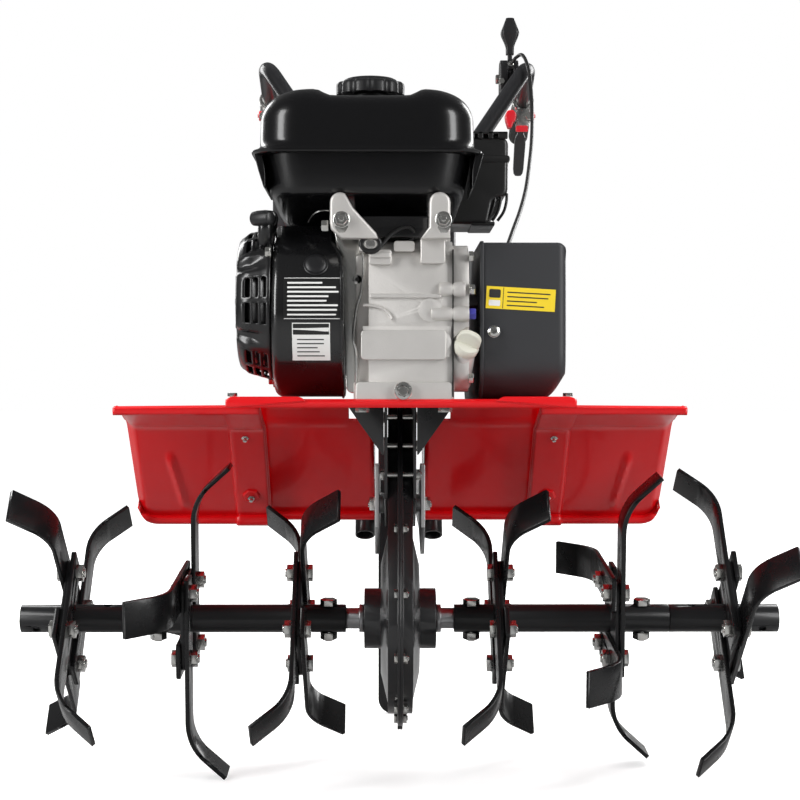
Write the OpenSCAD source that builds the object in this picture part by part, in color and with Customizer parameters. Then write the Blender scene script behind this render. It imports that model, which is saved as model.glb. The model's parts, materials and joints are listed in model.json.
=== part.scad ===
// Petrol mini tiller: an engine on a red deck over six groups of tines, driven by a belt and
// a chain. The machine is drawn with the tine axle at y = 0, z = 0, +X to the right as seen
// from the front, -Y forward and +Z up. machine() then moves it to the middle of its footprint.

/* [Tines] */
// Radius that the middle of a blade's tip runs on
tine_r = 175; // [165:1:178]
// Width of a blade
blade_w = 40; // [36:1:42]
// Thickness of a blade
blade_t = 5; // [4:0.5:6]
// Angle that a blade's tip turns to the side
blade_bend = 48; // [40:1:52]
// Inside radius of the bend in a blade
bend_r = 55; // [45:1:60]
// Length of the straight tip after the bend
tip_l = 31; // [30:1:40]
// Radius of the circle of bolts on a tine flange
bolt_circle_r = 53; // [52:1:55]
// Turn of the tine groups about the axle
tine_phase = 6; // [4:1:8]
// Distance of the inner tine flanges from the middle
inner_x = 114; // [112:1:118]
// Distance of the middle tine flanges from the middle
middle_x = 244; // [240:1:248]
// Distance of the outer tine flanges from the middle
outer_x = 378; // [374:1:382]

/* [Axle] */
// Outside diameter of the tine tubes
tube_d = 32; // [31:0.5:33]
// Inside diameter of the tine tubes
tube_bore = 25; // [24.5:0.5:26]
// Distance of the axle's open ends from the middle
axle_end_x = 434; // [428:1:440]
// Distance of the joint between tube and extension from the middle
joint_x = 309; // [305:1:313]
// Radius of the axle shaft
axle_r = 12; // [11:0.5:12]

/* [Chain case] */
// Radius of the lower end of the case
case_r = 108; // [104:1:110]
// Radius of the upper end of the case
case_top_r = 46; // [44:1:50]
// Distance of the case's flat sides from the middle
case_x = 14; // [13:0.5:15]
// Width of the flange around the case's seam
seam_w = 14; // [12:1:15]
// Radius of the axle hubs on the case
hub_r = 34.5; // [33:0.5:36]

/* [Engine] */
// Height of the engine's base over the axle
deck_z = 251; // [250:1:254]
// Place of the crankshaft along Y
crank_y = -110; // [-112:1:-108]
// Height of the crankshaft over the engine's base
crank_h = 106; // [104:1:108]
// Half width of the fuel tank
tank_half_w = 120; // [116:1:122]

/* [Handlebar] */
// Diameter of the handlebar tubes
bar_d = 24; // [22:0.5:25]
// Distance of the grips from the middle
grip_x = 205; // [195:1:210]
// Diameter of the grips
grip_d = 32; // [30:0.5:34]

/* [Colours] */
// Colour of the fenders
fender_colour = "crimson"; // ["crimson", "darkgreen", "orange", "royalblue"]

/* [Hidden] */
$fn = 48;
axle_h = 177.9;       // axle over the ground
mid_y = 360.2;        // middle of the machine's length
sheet = 2.5;          // sheet of the fenders and covers
gap = 0.5;            // room between neighbouring pieces
crank = [crank_y, deck_z + crank_h];
drive = [130, 326];   // input shaft, as y and z
hinge = [400, 383];   // handlebar hinge, as y and z
axle = [0, 0];
chain_pitch = 12.7;
axle_teeth = 36;
input_teeth = 12;
axle_pitch_r = chain_pitch / 2 / sin(180 / axle_teeth);
input_pitch_r = chain_pitch / 2 / sin(180 / input_teeth);
crank_pulley_r = 35;
driven_pulley_r = 65;
belt_x = 120;         // middle of the belt
belt_w = 12;
belt_t = 9;
idler_pivot = [38, 398];
idler_axis = [10.6, 319.2];
idler_r = 19;
foot = bolt_circle_r * cos(45);                     // blade's middle line from the axle
bend_t = bend_r + blade_t / 2;
reach = sqrt(tine_r * tine_r - foot * foot);
bend_start = reach - bend_t * sin(blade_bend) - tip_l * cos(blade_bend);
blade_root = -foot - 18;
flange_t = 5;
stake_y = 380;
stake_x = [-27, 15];
stake_slot = [56, 86];   // slot above and below the hitch pin
pin_at = [-6, 124];      // hitch pin, as x and z
plate_x = [24, 29];   // inner and outer face of a side plate
stem_x = 43;
stem_r = 12.5;
stem_foot = [stem_x, 215, 79];
stem_top = [stem_x, hinge[0] - 12, hinge[1] - 20];
bar_points = [[68, 405, 392], [72, 510, 562], [200, 640, 762], [grip_x, 915, 695]];
bar_r = bar_d / 2;
lever_pivot = [201, 796, 698];
latch_pivot = [201, 774, 705];
knob_pivot = [173, 672, 745];
fuel_cap_at = [-33, -100, 583];
dipstick_at = [66, -176, 304];
dipstick_turn = [50, 0, 25];
recoil_at = [-143, -168, 442];
cable_r = 2.8;
cable_points = [
    [174, 647, 764], [182, 640, 773], [190, 626, 773], [197, 610, 752], [200, 592, 715],
    [199, 560, 668], [193, 500, 622], [184, 430, 580], [172, 340, 535], [158, 255, 497],
    [144, 180, 466], [133, 125, 441], [127, 104, 428], [126, 100, 418]
];

// ---- shared shapes ----

module machine() translate([0, -mid_y, axle_h]) children();

module both() {
    children();
    mirror([1, 0, 0]) children();
}

// A cylinder along X, at a place given as y and z.
module xrod(x0, x1, r, at = [0, 0], fn = 48)
    translate([x0, at[0], at[1]]) rotate([0, 90, 0]) cylinder(h = x1 - x0, r = r, $fn = fn);

// A cylinder from one point to another.
module rod(a, b, r, fn = 48) {
    d = b - a;
    translate(a) rotate([0, acos(d[2] / norm(d)), atan2(d[1], d[0])])
        cylinder(h = norm(d), r = r, $fn = fn);
}

// Outlines drawn as (y, z) and thickened along X, or as (x, z) and thickened along Y.
module yz(x0, x1) translate([x0, 0, 0]) rotate([90, 0, 90]) linear_extrude(x1 - x0) children();
module xz(y0, y1) translate([0, y1, 0]) rotate([90, 0, 0]) linear_extrude(y1 - y0) children();

function arc(c, r, a0, a1, n = 6) =
    [for (i = [0:n]) let (a = a0 + (a1 - a0) * i / n) c + r * [cos(a), sin(a)]];

// A rectangle whose corners have their own radii: lower left, lower right, upper right, upper left.
function round_rect(x0, x1, y0, y1, r) = concat(
    arc([x0 + r[0], y0 + r[0]], r[0], 180, 270), arc([x1 - r[1], y0 + r[1]], r[1], 270, 360),
    arc([x1 - r[2], y1 - r[2]], r[2], 0, 90), arc([x0 + r[3], y1 - r[3]], r[3], 90, 180));

// The outline of a band pulled round two circles.
function tangents(c1, r1, c2, r2) =
    let (d = c2 - c1, a = atan2(d[1], d[0]), b = acos((r1 - r2) / norm(d)))
    [c1 + r1 * [cos(a + b), sin(a + b)], c2 + r2 * [cos(a + b), sin(a + b)],
     c2 + r2 * [cos(a - b), sin(a - b)], c1 + r1 * [cos(a - b), sin(a - b)]];

module band(c1, r1, c2, r2) {
    translate(c1) circle(r1, $fn = 96);
    translate(c2) circle(r2, $fn = 96);
    polygon(tangents(c1, r1, c2, r2));
}

module case_shape(extra) band(axle, case_r + extra, drive, case_top_r + extra);

// A bolt and its nut along X, clamping from x0 to x1, with the head at x0.
module bolt(x0, x1, r, at) {
    xrod(x0 - r * 0.65, x1 + r * 2, r * 0.98, at, 24);
    xrod(x0 - r * 1.3, x0, r * 1.95, at, 6);
    xrod(x1, x1 + r * 1.6, r * 1.95, at, 6);
}

module turned_bolt(x0, x1, r, at, head_left)
    if (head_left) bolt(x0, x1, r, at);
    else mirror([1, 0, 0]) bolt(-x1, -x0, r, at);

// ---- places that several pieces share ----

function rim_at(a) = (case_r + seam_w / 2) * [cos(a), sin(a)];
rim_angles = [160, 195, 233, 270, 307, 345];
// Points beside the case's straight edges, a share t of the way up: side 0 is the front.
function edge_at(side, t) =
    let (o = tangents(axle, case_r + seam_w / 2, drive, case_top_r + seam_w / 2))
    side == 0 ? o[0] + t * (o[1] - o[0]) : o[3] + t * (o[2] - o[3]);
seam_bolts = concat([for (a = rim_angles) rim_at(a)],
    [edge_at(0, 0.16), edge_at(1, 0.15), edge_at(1, 0.5), edge_at(1, 0.85)]);
neck_bolts = [edge_at(0, 0.36), edge_at(0, 0.47), edge_at(0, 0.58)];
engine_feet = [[-41, -152], [-41, -54], [47, -152], [47, -54]];

// ---- chain case ----

module case_half() difference() {
    union() {
        yz(0, case_x) case_shape(0);
        yz(0, 3) {
            case_shape(seam_w);
            translate([0, -case_r - 6]) circle(14);
        }
        translate([case_x - 0.01, 0, 0]) rotate([0, 90, 0]) cylinder(h = 8, r1 = 96, r2 = 62, $fn = 96);
        xrod(case_x, 41, hub_r);
        xrod(case_x, 30, 24, drive);
    }
    yz(-1, case_x - 3) case_shape(-3);
    translate([case_x - 3.01, 0, 0]) rotate([0, 90, 0]) cylinder(h = 8, r1 = 93, r2 = 59, $fn = 96);
    xrod(18, 37, 26);
    xrod(36, 42, 20);
    xrod(10, 28, 17.5, drive);
    xrod(27, 31, 13, drive);
    for (p = concat(seam_bolts, neck_bolts)) xrod(-1, 4, 3.3, p, 24);
}

module chain_case_left() color("#202124") machine() mirror([1, 0, 0]) case_half();
module chain_case_right() color("#202124") machine() case_half();

module ring(x0, x1, ro, ri, at) difference() {
    xrod(x0, x1, ro, at);
    xrod(x0 - 1, x1 + 1, ri, at);
}

module bearings() color("silver") machine() both() {
    ring(21, 36, 26, axle_r + 0.05, axle);
    ring(41, 47, 16, axle_r + 0.3, axle);
    ring(14, 26, 17.5, 10.05, drive);
}

// ---- chain drive ----

function sprocket(teeth, r) = [for (i = [0:teeth - 1], k = [0:3])
    let (a = (i + [-0.3, -0.12, 0.12, 0.3][k]) * 360 / teeth, q = r + [-4.4, 3, 3, -4.4][k])
    q * [cos(a), sin(a)]];

module chain_plate(x0, x1) yz(x0, x1) difference() {
    band(axle, axle_pitch_r + 5.5, drive, input_pitch_r + 5.5);
    band(axle, axle_pitch_r - 5.5, drive, input_pitch_r - 5.5);
}

module chain() color("dimgray") machine() {
    both() chain_plate(4.4, 6.4);
    o = tangents(axle, axle_pitch_r, drive, input_pitch_r);
    links = 26;
    for (i = [2:links - 2], side = [0, 1]) {
        a = side == 0 ? o[0] : o[3];
        b = side == 0 ? o[1] : o[2];
        xrod(-4.5, 4.5, 3.6, a + (b - a) * (i + 0.5) / (links + 0.5), 16);
    }
}

module axle_shaft() color("gray") machine() {
    difference() {
        xrod(-110, 110, axle_r, axle, 64);
        for (x = [-82, 82]) cross_hole(x, bolt_lean);
    }
    both() difference() {
        xrod(6, 18, 18, axle);
        xrod(5, 19, axle_r - 0.5, axle);
    }
}

module axle_sprocket() color("dimgray") machine() difference() {
    yz(-3.4, 3.4) rotate(2.5) polygon(sprocket(axle_teeth, axle_pitch_r));
    xrod(-4, 4, axle_r + 0.02, axle, 64);
    for (a = [0:60:300]) xrod(-4, 4, 14, 42 * [cos(a), sin(a)]);
}

module input_shaft() color("gray") machine() {
    xrod(-29, 142, 10, drive, 64);
    translate([0, drive[0], drive[1]]) yz(-3.4, 3.4) polygon(sprocket(input_teeth, input_pitch_r));
}

// ---- tines ----

function blade_outline() = let (
    c = [bend_start, bend_r + blade_t],
    e = c + [bend_r * sin(blade_bend), -bend_r * cos(blade_bend)],
    f = c + [(bend_r + blade_t) * sin(blade_bend), -(bend_r + blade_t) * cos(blade_bend)],
    tip = tip_l * [cos(blade_bend), sin(blade_bend)])
    concat([[blade_root, blade_t], [blade_root, 0]],
        arc(c, bend_r + blade_t, -90, blade_bend - 90, 8), [f + tip, e + tip],
        arc(c, bend_r, blade_bend - 90, -90, 8));

// One blade on the +X face of a flange, its root before the bolt at angle a. sense is the way
// it points round the axle, and side is the way that its tip turns.
module blade(a, sense, side)
    facing(side) rotate([a + 45 * sense, 0, 0]) leading(sense)
    difference() {
        translate([flange_t / 2, foot, 0]) rotate([0, -90, -90])
            linear_extrude(blade_w, center = true) polygon(blade_outline());
        for (t = [-foot, foot]) xrod(0, 10, 5.3, [foot, t], 24);
        for (w = [-1, 1]) translate([flange_t / 2, foot + w * (blade_w / 2 + 2.8), blade_root - 2.8])
            rotate([45, 0, 0]) cube([20, 12, 12], center = true);
    }

module facing(side)
    if (side > 0) children();
    else mirror([1, 0, 0]) children();

module leading(sense)
    if (sense > 0) children();
    else mirror([0, 0, 1]) children();

// Four blades on one flange. first is the side that the blade rooted at the back bolt turns to.
module tine_group(x, turn, sense, first) translate([x, 0, 0])
    for (k = [0:3]) blade(tine_phase + turn + 90 * k, sense, k % 2 == 0 ? first : -first);

module inner_tines() color("#1b1c1e") machine() {
    tine_group(-inner_x, 0, 1, 1);
    tine_group(inner_x, 0, 1, 1);
}

module middle_tines() color("#1b1c1e") machine() {
    tine_group(-middle_x, 45, 1, -1);
    tine_group(middle_x, 45, -1, 1);
}

module outer_tines() color("#1b1c1e") machine() {
    tine_group(-outer_x, 0, 1, -1);
    tine_group(outer_x, 0, -1, -1);
}

module flange(x, turn) difference() {
    translate([x, 0, 0]) rotate([tine_phase + turn + 45, 0, 0]) yz(-flange_t / 2, flange_t / 2)
        polygon(round_rect(-50, 50, -50, 50, [10, 10, 10, 10]));
    for (k = [0:3]) let (a = tine_phase + turn + 90 * k)
        xrod(x - 4, x + 4, 5.3, bolt_circle_r * [cos(a), sin(a)], 24);
    xrod(x - 4, x + 4, tube_bore / 2, axle);
}

module cross_hole(x, a, r = 5.2)
    translate([x, 0, 0]) rotate([a, 0, 0]) cylinder(h = 60, r = r, center = true, $fn = 24);

bolt_lean = 8;

module tine_tubes() color("#1b1c1e") machine() both() {
    difference() {
        xrod(62, joint_x - gap, tube_d / 2, axle, 64);
        xrod(60, joint_x, tube_bore / 2, axle, 64);
        for (x = [82, 278]) cross_hole(x, bolt_lean);
    }
    flange(inner_x, 0);
    flange(middle_x, 45);
}

module tine_extensions() color("#1b1c1e") machine() both() {
    difference() {
        union() {
            xrod(joint_x, axle_end_x, tube_d / 2, axle, 64);
            xrod(245, joint_x + 1, tube_bore / 2 - 0.1, axle, 64);
        }
        xrod(345, axle_end_x + 1, tube_bore / 2, axle, 64);
        for (x = [278, 335]) cross_hole(x, bolt_lean);
        cross_hole(axle_end_x - 19, 135, 4.5);
    }
    flange(outer_x, 0);
}

module tine_bolts() color("silver") machine()
    for (side = [-1, 1], g = [0:2], k = [0:3]) {
        x = side * [inner_x, middle_x, outer_x][g];
        a = tine_phase + [0, 45, 0][g] + 90 * k;
        clamp = flange_t / 2 + blade_t;
        head_left = g == 0 ? side > 0 : side < 0;
        turned_bolt(x - clamp, x + clamp, 5, bolt_circle_r * [cos(a), sin(a)], head_left);
    }

module tube_bolts() color("silver") machine() both() for (x = [82, 278])
    translate([x, 0, 0]) rotate([bolt_lean, 0, 0]) rotate([0, 90, 0])
        bolt(-tube_d / 2, tube_d / 2, 5, axle);

// ---- frame ----

module neck_outline() polygon([[-60, 247], [60, 247], [46, 150], [20, 104], [-42, 140]]);

module engine_bracket() color("#202124") machine() {
    difference() {
        translate([-60, -176, deck_z - sheet - 5]) cube([120, 182, 5]);
        for (p = engine_feet) translate([p[0], p[1], 240]) cylinder(h = 10, r = 4.3, $fn = 24);
    }
    both() difference() {
        yz(case_x + gap, case_x + 4) neck_outline();
        for (p = neck_bolts) xrod(0, 30, 3.3, p, 24);
    }
    difference() {
        xz(-66, -62) polygon([[-58, 243.4], [58, 243.4], [46, 226], [20, 190], [-20, 190], [-46, 226]]);
        translate([-18.6, -70, 180]) cube([37.2, 12, 66]);
    }
}

module side_plates() color("gainsboro") machine() both() difference() {
    union() {
        yz(plate_x[0], plate_x[1]) polygon([[6, 176], [60, 176], [150, 150], [371, 150], [371, 96],
            [150, 92], [40, 70], [6, 104]]);
        xrod(case_x + 4 + gap, plate_x[0], 11, [30, 130]);
    }
    xrod(10, 40, 4.3, [30, 130], 24);
    xrod(20, 40, 6.25, [330, 124]);
    xrod(20, 40, 4.3, [232, 124], 24);
}

module frame_bolts() color("silver") machine() {
    for (p = seam_bolts) bolt(-3, 3, 3, p);
    for (p = neck_bolts) bolt(-case_x - 4, case_x + 4, 3.2, p);
    both() {
        difference() {
            bolt(case_x + 4, plate_x[1], 4, [30, 130]);
            xrod(case_x - 2, case_x + 4 + gap, 10, [30, 130]);
        }
        bolt(plate_x[0], stem_x + 14, 4, [232, 124]);
    }
    both() for (p = [[-152, 60], [60, 60], [148, 60]]) {
        y = p[0] < 0 ? -30 : p[0];
        z = p[0] < 0 ? 243 : p[0] < 100 ? 234.5 : 140;
        translate([190, y, z]) cylinder(h = 12, r = 3, $fn = 24);
        translate([190, y, z + 12]) cylinder(h = 4, r = 5.6, $fn = 6);
    }
}

// ---- fenders ----

// A folded sheet: the line through its points, thickened by the sheet downwards.
module folded(points, t = sheet)
    polygon(concat(points, [for (i = [len(points) - 1:-1:0]) points[i] - [0, t]]));

deck_line = [[-190, 251], [32, 251], [56, 246], [84, 228], [170, 118], [174, 116]];
wing_line = [[-48, 242], [40, 235], [66, 228], [84, 212], [168, 104], [172, 102]];

module fender_deck() color(fender_colour) machine() difference() {
    union() {
        yz(-183, 183) folded(deck_line);
        both() yz(56, 176) polygon([[-192, 246], [-189, 246], [-189, 257], [-192, 257]]);
    }
    translate([-30.5, 2, 80]) cube([61, 220, 200]);
    translate([-60, 34, 225]) cube([120, 60, 40]);
    for (p = engine_feet) translate([p[0], p[1], 240]) cylinder(h = 20, r = 5);
}

module wing() difference() {
    union() {
        yz(184, 322) folded(wing_line);
        yz(184, 322) polygon([[-50, 236], [-47.5, 236], [-47.5, 250], [-50, 250]]);
        yz(184, 200) folded([for (p = wing_line) if (p[0] > -40) p + [0, 3.2]]);
    }
    translate([322, 0, 100]) rotate([0, 45, 0]) cube([40, 500, 40], center = true);
}

module fender_left() color(fender_colour) machine() mirror([1, 0, 0]) wing();
module fender_right() color(fender_colour) machine() wing();

// ---- belt drive ----

belt_ring = 0.6;      // belt stands this far off the bottom of its groove

module drive_belt() color("#151515") machine() yz(belt_x - belt_w / 2, belt_x + belt_w / 2)
    difference() {
        band(crank, crank_pulley_r, drive, driven_pulley_r);
        band(crank, crank_pulley_r - belt_t, drive, driven_pulley_r - belt_t);
    }

module pulley(at, r, bore) translate([belt_x, at[0], at[1]]) rotate([0, 90, 0]) difference() {
    cylinder(h = 22, r = r + 2, center = true, $fn = 96);
    rotate_extrude($fn = 96) translate([r - belt_t - belt_ring, -belt_w / 2 - gap])
        square([belt_t + 8, belt_w + 2 * gap]);
    cylinder(h = 40, r = bore, center = true);
}

module driven_pulley() color("gray") machine() difference() {
    pulley(drive, driven_pulley_r, 10.02);
    for (a = [0:60:300]) xrod(100, 140, 11, drive + 33 * [cos(a), sin(a)]);
}

module crank_pulley() color("gray") machine() pulley(crank, crank_pulley_r, 9.55);

module idler_arm() color("dimgray") machine() {
    difference() {
        union() {
            yz(92, 97) {
                translate(idler_pivot) circle(13, $fn = 96);
                translate(idler_axis) circle(11, $fn = 96);
                polygon(tangents(idler_pivot, 12, idler_axis, 10));
            }
            xrod(97, 108, 9, idler_pivot);
            xrod(97, 131, 6, idler_axis);
        }
        xrod(80, 120, 5.08, idler_pivot);
    }
    xrod(91, 98, 4, (idler_pivot + idler_axis) / 2 + [9, 2]);
}

module idler_pulley() color("gray") machine() difference() {
    xrod(109, 131, idler_r, idler_axis);
    xrod(100, 140, 6.06, idler_axis);
}

module idler_spring() color("silver") machine()
    rod([101, 39, 357], [101, 108, 357], 4);

cover_y = [-172, 206];
module cover_side(d) polygon(round_rect(cover_y[0] + d, cover_y[1] - d, 252 + d, 417 - d,
    [46, 30, 30, 22] - [d, d, d, d] * 0.5));

module belt_cover() color("#2a2b2d") machine() difference() {
    union() {
        yz(84, 174) cover_side(0);
        yz(170, 176) cover_side(20);
        translate([126, 100, 414]) cylinder(h = 4, r = 7);
    }
    yz(84 + sheet, 174 - sheet) cover_side(sheet);
    xrod(80, 90, 21, crank);
    xrod(80, 90, 21, drive);
    xrod(80, 90, 3.1, [-160, 340], 24);
    translate([174, 0, 252]) rotate([0, 45, 0]) cube([16, 500, 16], center = true);
    translate([126, 100, 400]) cylinder(h = 30, r = 3.1);
}

// ---- engine ----

// Along the cylinder: its own frame has +Y up the bore, with the crankshaft at the origin.
module bore_frame() translate([10, crank[0], crank[1]]) rotate([15, 0, 0]) children();

module crankcase() color("lightgray") machine() difference() {
    union() {
        yz(-34, 54) polygon(round_rect(-183, -30, 256, 419, [18, 18, 34, 30]));
        translate([-48, -176, deck_z]) cube([102, 146, 12]);
        translate([-40, -184.5, 296]) cube([92, 3, 32]);
        bore_frame() {
            translate([-40, 40, -44]) cube([80, 86, 88]);
            for (i = [0:5]) translate([-43, 74 + 9 * i, -51]) cube([86, 3.5, 102]);
        }
        translate([30, -186, 345]) rotate([-90, 0, 0]) cylinder(h = 20, r = 12);
        translate([42, -188, 312]) rotate([-90, 0, 0]) cylinder(h = 20, r = 10);
    }
    yz(-26, 60) polygon(round_rect(-176, -38, 264, 411, [14, 14, 28, 24]));
    bore_frame() rotate([-90, 0, 0]) translate([0, 0, 40]) cylinder(h = 120, r = 34);
    xrod(-40, -20, 18, crank);
    for (p = engine_feet) translate([p[0], p[1], 240]) {
        cylinder(h = 40, r = 4.3, $fn = 24);
        translate([0, 0, 23]) cylinder(h = 10, r = 8.5);
    }
}

module crankcase_cover() color("silver") machine() difference() {
    yz(54, 71) polygon(round_rect(-180, -32, 260, 416, [30, 30, 50, 40]));
    yz(53, 63) polygon(round_rect(-172, -40, 268, 408, [24, 24, 44, 34]));
    xrod(50, 80, 17, crank);
    translate(dipstick_at) rotate(dipstick_turn) {
        cylinder(h = 60, r = 9, center = true);
        translate([0, 0, -0.3]) cylinder(h = 40, r = 14.8);
    }
}

module cylinder_head() color("lightgray") machine() bore_frame() {
    translate([-44, 126, -48]) cube([88, 34, 96]);
    for (i = [0:3]) translate([-48, 129 + 9 * i, -51]) cube([96, 3.5, 102]);
    translate([-36, 159, -42]) cube([72, 26, 84]);
}

module blower_shroud() color("#1d1e20") machine() difference() {
    union() {
        yz(-136, -60) {
            translate(crank + [4, -10]) circle(92, $fn = 96);
            polygon(round_rect(-150, 40, 330, 437, [10, 20, 40, 40]));
        }
    }
    yz(-133, -50) {
        translate(crank + [4, -10]) circle(89, $fn = 96);
        polygon(round_rect(-147, 37, 333, 434, [10, 18, 38, 38]));
    }
    xrod(-140, -130, 62, crank);
}

module recoil_cover() color("#17181a") machine() difference() {
    union() {
        xrod(-160, -136.5, 80, crank, 96);
        translate([-160, crank[0], crank[1]]) rotate([0, -90, 0]) cylinder(h = 13, r1 = 80, r2 = 62, $fn = 96);
    }
    xrod(-158, -136, 76, crank, 96);
    for (a = [0:30:330]) translate([-170, crank[0], crank[1]]) rotate([a, 0, 0])
        translate([-5, 44, -5]) cube([20, 24, 10]);
    xrod(-180, -150, 10, crank);
}

module fuel_tank() color("#151617") machine() difference() {
    union() {
        translate([-34, 0, 0]) xz(-196, 0) polygon(round_rect(-tank_half_w + 10, tank_half_w - 10,
            440, 512, [46, 46, 4, 4]));
        translate([-34, 0, 0]) xz(-200, 4) polygon(round_rect(-tank_half_w, tank_half_w,
            506, 516, [3, 3, 3, 3]));
        translate([-34, 0, 0]) xz(-194, 0) polygon(round_rect(-tank_half_w + 8, tank_half_w - 8,
            512, 580, [4, 4, 30, 30]));
        translate(fuel_cap_at - [0, 0, 8]) cylinder(h = 8, r = 27);
    }
    translate([-34, 0, 0]) xz(-190, -6) polygon(round_rect(-tank_half_w + 16, tank_half_w - 16,
        446, 574, [42, 42, 26, 26]));
    translate(fuel_cap_at - [0, 0, 20]) cylinder(h = 40, r = 22);
}

module fuel_cap() color("#101010") machine() translate(fuel_cap_at + [0, 0, gap]) {
    cylinder(h = 13, r = 33);
    for (a = [0:60:300]) rotate(a) translate([30, 0, 1]) cylinder(h = 11, r = 8, $fn = 32);
    translate([0, 0, 12.5]) cylinder(h = 6.5, r = 26);
    translate([0, 0, -12]) cylinder(h = 12.5, r = 21);
}

module tank_stays() color("lightgray") machine() {
    for (x = [-62, 44]) {
        translate([x - 9, -190, 419.5]) cube([18, 16, 20]);
        translate([x - 7, -196, 433.5]) cube([14, 34, 6]);
    }
    translate([-71, -178, 419.5]) cube([121, 8, 8]);
}

module engine_bolts() color("silver") machine() {
    for (p = engine_feet) translate([p[0], p[1], deck_z - 8]) {
        cylinder(h = 30, r = 4, $fn = 24);
        translate([0, 0, -5]) cylinder(h = 5, r = 7.5, $fn = 6);
        translate([0, 0, 20.2]) cylinder(h = 7, r = 6.8, $fn = 6);
    }
    translate([2, -184, 260.5]) rotate([90, 0, 0]) cylinder(h = 9, r = 9, $fn = 6);
    for (x = [-62, 44]) translate([x, -196.2, 430]) rotate([90, 0, 0]) cylinder(h = 6, r = 7, $fn = 6);
}

module muffler() color("#3a3a3c") machine() {
    xz(52, 140) polygon(round_rect(36, 118, 462, 552, [24, 24, 24, 24]));
    rod([40, 80, 474], [24, 62, 452], 12);
}

module muffler_guard() color("#202124") machine() difference() {
    xz(40, 150) polygon(round_rect(30, 128, 458, 566, [20, 20, 16, 16]));
    xz(44, 146) polygon(round_rect(34, 124, 460, 560, [20, 20, 14, 14]));
    translate([20, 30, 440]) cube([60, 90, 46]);
    for (i = [0:4]) translate([40 + 17 * i, 60, 540]) cube([8, 70, 40]);
    for (i = [0:3]) translate([110, 60 + 22 * i, 470]) cube([30, 10, 60]);
}

module carburetor() color("silver") machine() {
    translate([-78, 60, 452]) cube([50, 46, 44]);
    rod([-30, 80, 472], [-14, 50, 457], 10);
    translate([-60, 80, 430]) cylinder(h = 23, r = 17);
}

module air_cleaner() color("#1a1a1b") machine() {
    yz(-150, -79) polygon(round_rect(56, 186, 446, 566, [18, 18, 18, 18]));
}

module choke_lever() color("#26272a") machine() translate([-40, 113, 474]) {
    rotate([90, 0, 0]) cylinder(h = 6, r = 7);
    translate([-2.5, -5, -34]) cube([5, 4, 34]);
    translate([-7, -6, -44]) cube([14, 7, 12]);
}

module dipstick() color("beige") machine() translate(dipstick_at) rotate(dipstick_turn) {
    translate([0, 0, -14]) cylinder(h = 14.5, r = 8.6);
    cylinder(h = 14, r = 12.2);
    translate([-14, -3.5, 10]) cube([28, 7, 14]);
}

module recoil_grip() color("#111213") machine() translate(recoil_at) {
    rotate([0, 90, 37]) translate([0, 0, -9]) cylinder(h = 18, r = 9);
    rotate([90, 0, -37]) {
        cylinder(h = 14, r = 9);
    }
}

// ---- crank train ----

module crankshaft() color("gray") machine() {
    xrod(-128, -20, 9.5, crank);
    xrod(-20, -12, 38, crank);
    xrod(32, 40, 38, crank);
    xrod(-12, 32, 12, crank + [0, 22]);
    xrod(40, 140, 9.5, crank);
}

module flywheel() color("silver") machine() difference() {
    union() {
        xrod(-112, -92, 76, crank, 96);
        for (a = [0:24:336]) translate([0, crank[0], crank[1]]) rotate([a, 0, 0])
            translate([-126, 42, -2]) cube([14, 32, 4]);
        xrod(-112, -78, 24, crank);
    }
    xrod(-140, -70, 9.52, crank);
}

// ---- handle stems and rear hitch ----

module stem() difference() {
    union() {
        rod(stem_foot, stem_top, stem_r);
        xrod(stem_x - 12, stem_x + 12, 17, hinge);
    }
    rod(stem_foot - [0, 1.2, 2], stem_foot + [0, 93, 152], stem_r - 2);
    xrod(0, 80, 8.08, hinge);
    translate([plate_x[1], 232, 124]) xrod(-5, 60, 4.3, [0, 0], 24);
}

module handle_stems() color("#1b1c1e") machine() {
    both() {
        stem();
        difference() {
            translate([plate_x[1] + gap, 214, 104]) cube([9, 40, 40]);
            rod(stem_foot, stem_top, stem_r - 1);
            xrod(0, 60, 4.3, [232, 124], 24);
        }
    }
    difference() {
        xrod(-stem_x + 11, stem_x - 11, 17, hinge);
        xrod(-80, 80, 8.08, hinge);
    }
}

module rear_hitch() color("#1b1c1e") machine() difference() {
    translate([-plate_x[0] + gap, 352, 100]) cube([2 * (plate_x[0] - gap), 50, 46]);
    translate([stake_x[0] - 1, stake_y - 5.5, 80]) cube([stake_x[1] - stake_x[0] + 2, 11, 90]);
    rod([pin_at[0], 340, pin_at[1]], [pin_at[0], 410, pin_at[1]], 6.05);
}

module hitch_pin() color("silver") machine() {
    rod([pin_at[0], 350, pin_at[1]], [pin_at[0], 412, pin_at[1]], 6);
    rod([pin_at[0], 404, pin_at[1]], [pin_at[0], 410, pin_at[1]], 11);
}

module depth_stake() color("#1b1c1e") machine() difference() {
    xz(stake_y - 5, stake_y + 5) polygon(round_rect(stake_x[0], stake_x[1], -axle_h, 200,
        [20, 20, 6, 6]));
    xz(stake_y - 6, stake_y + 6) translate(pin_at)
        polygon(round_rect(-6.5, 6.5, -stake_slot[1], stake_slot[0], [6, 6, 6, 6]));
}

// ---- handlebar ----

module bar() {
    for (i = [0:2]) rod(bar_points[i], bar_points[i + 1], bar_r);
    for (i = [1:2]) translate(bar_points[i]) sphere(bar_r + 0.3);
    difference() {
        yz(58, 80) translate(hinge) circle(20);
        yz(64, 90) translate(hinge) circle(30);
    }
}

module handlebar_left() color("#1b1c1e") machine() {
    mirror([1, 0, 0]) bar();
    xrod(-60, 57, 8, hinge);
}

module handlebar_right() color("#1b1c1e") machine() bar();

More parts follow.
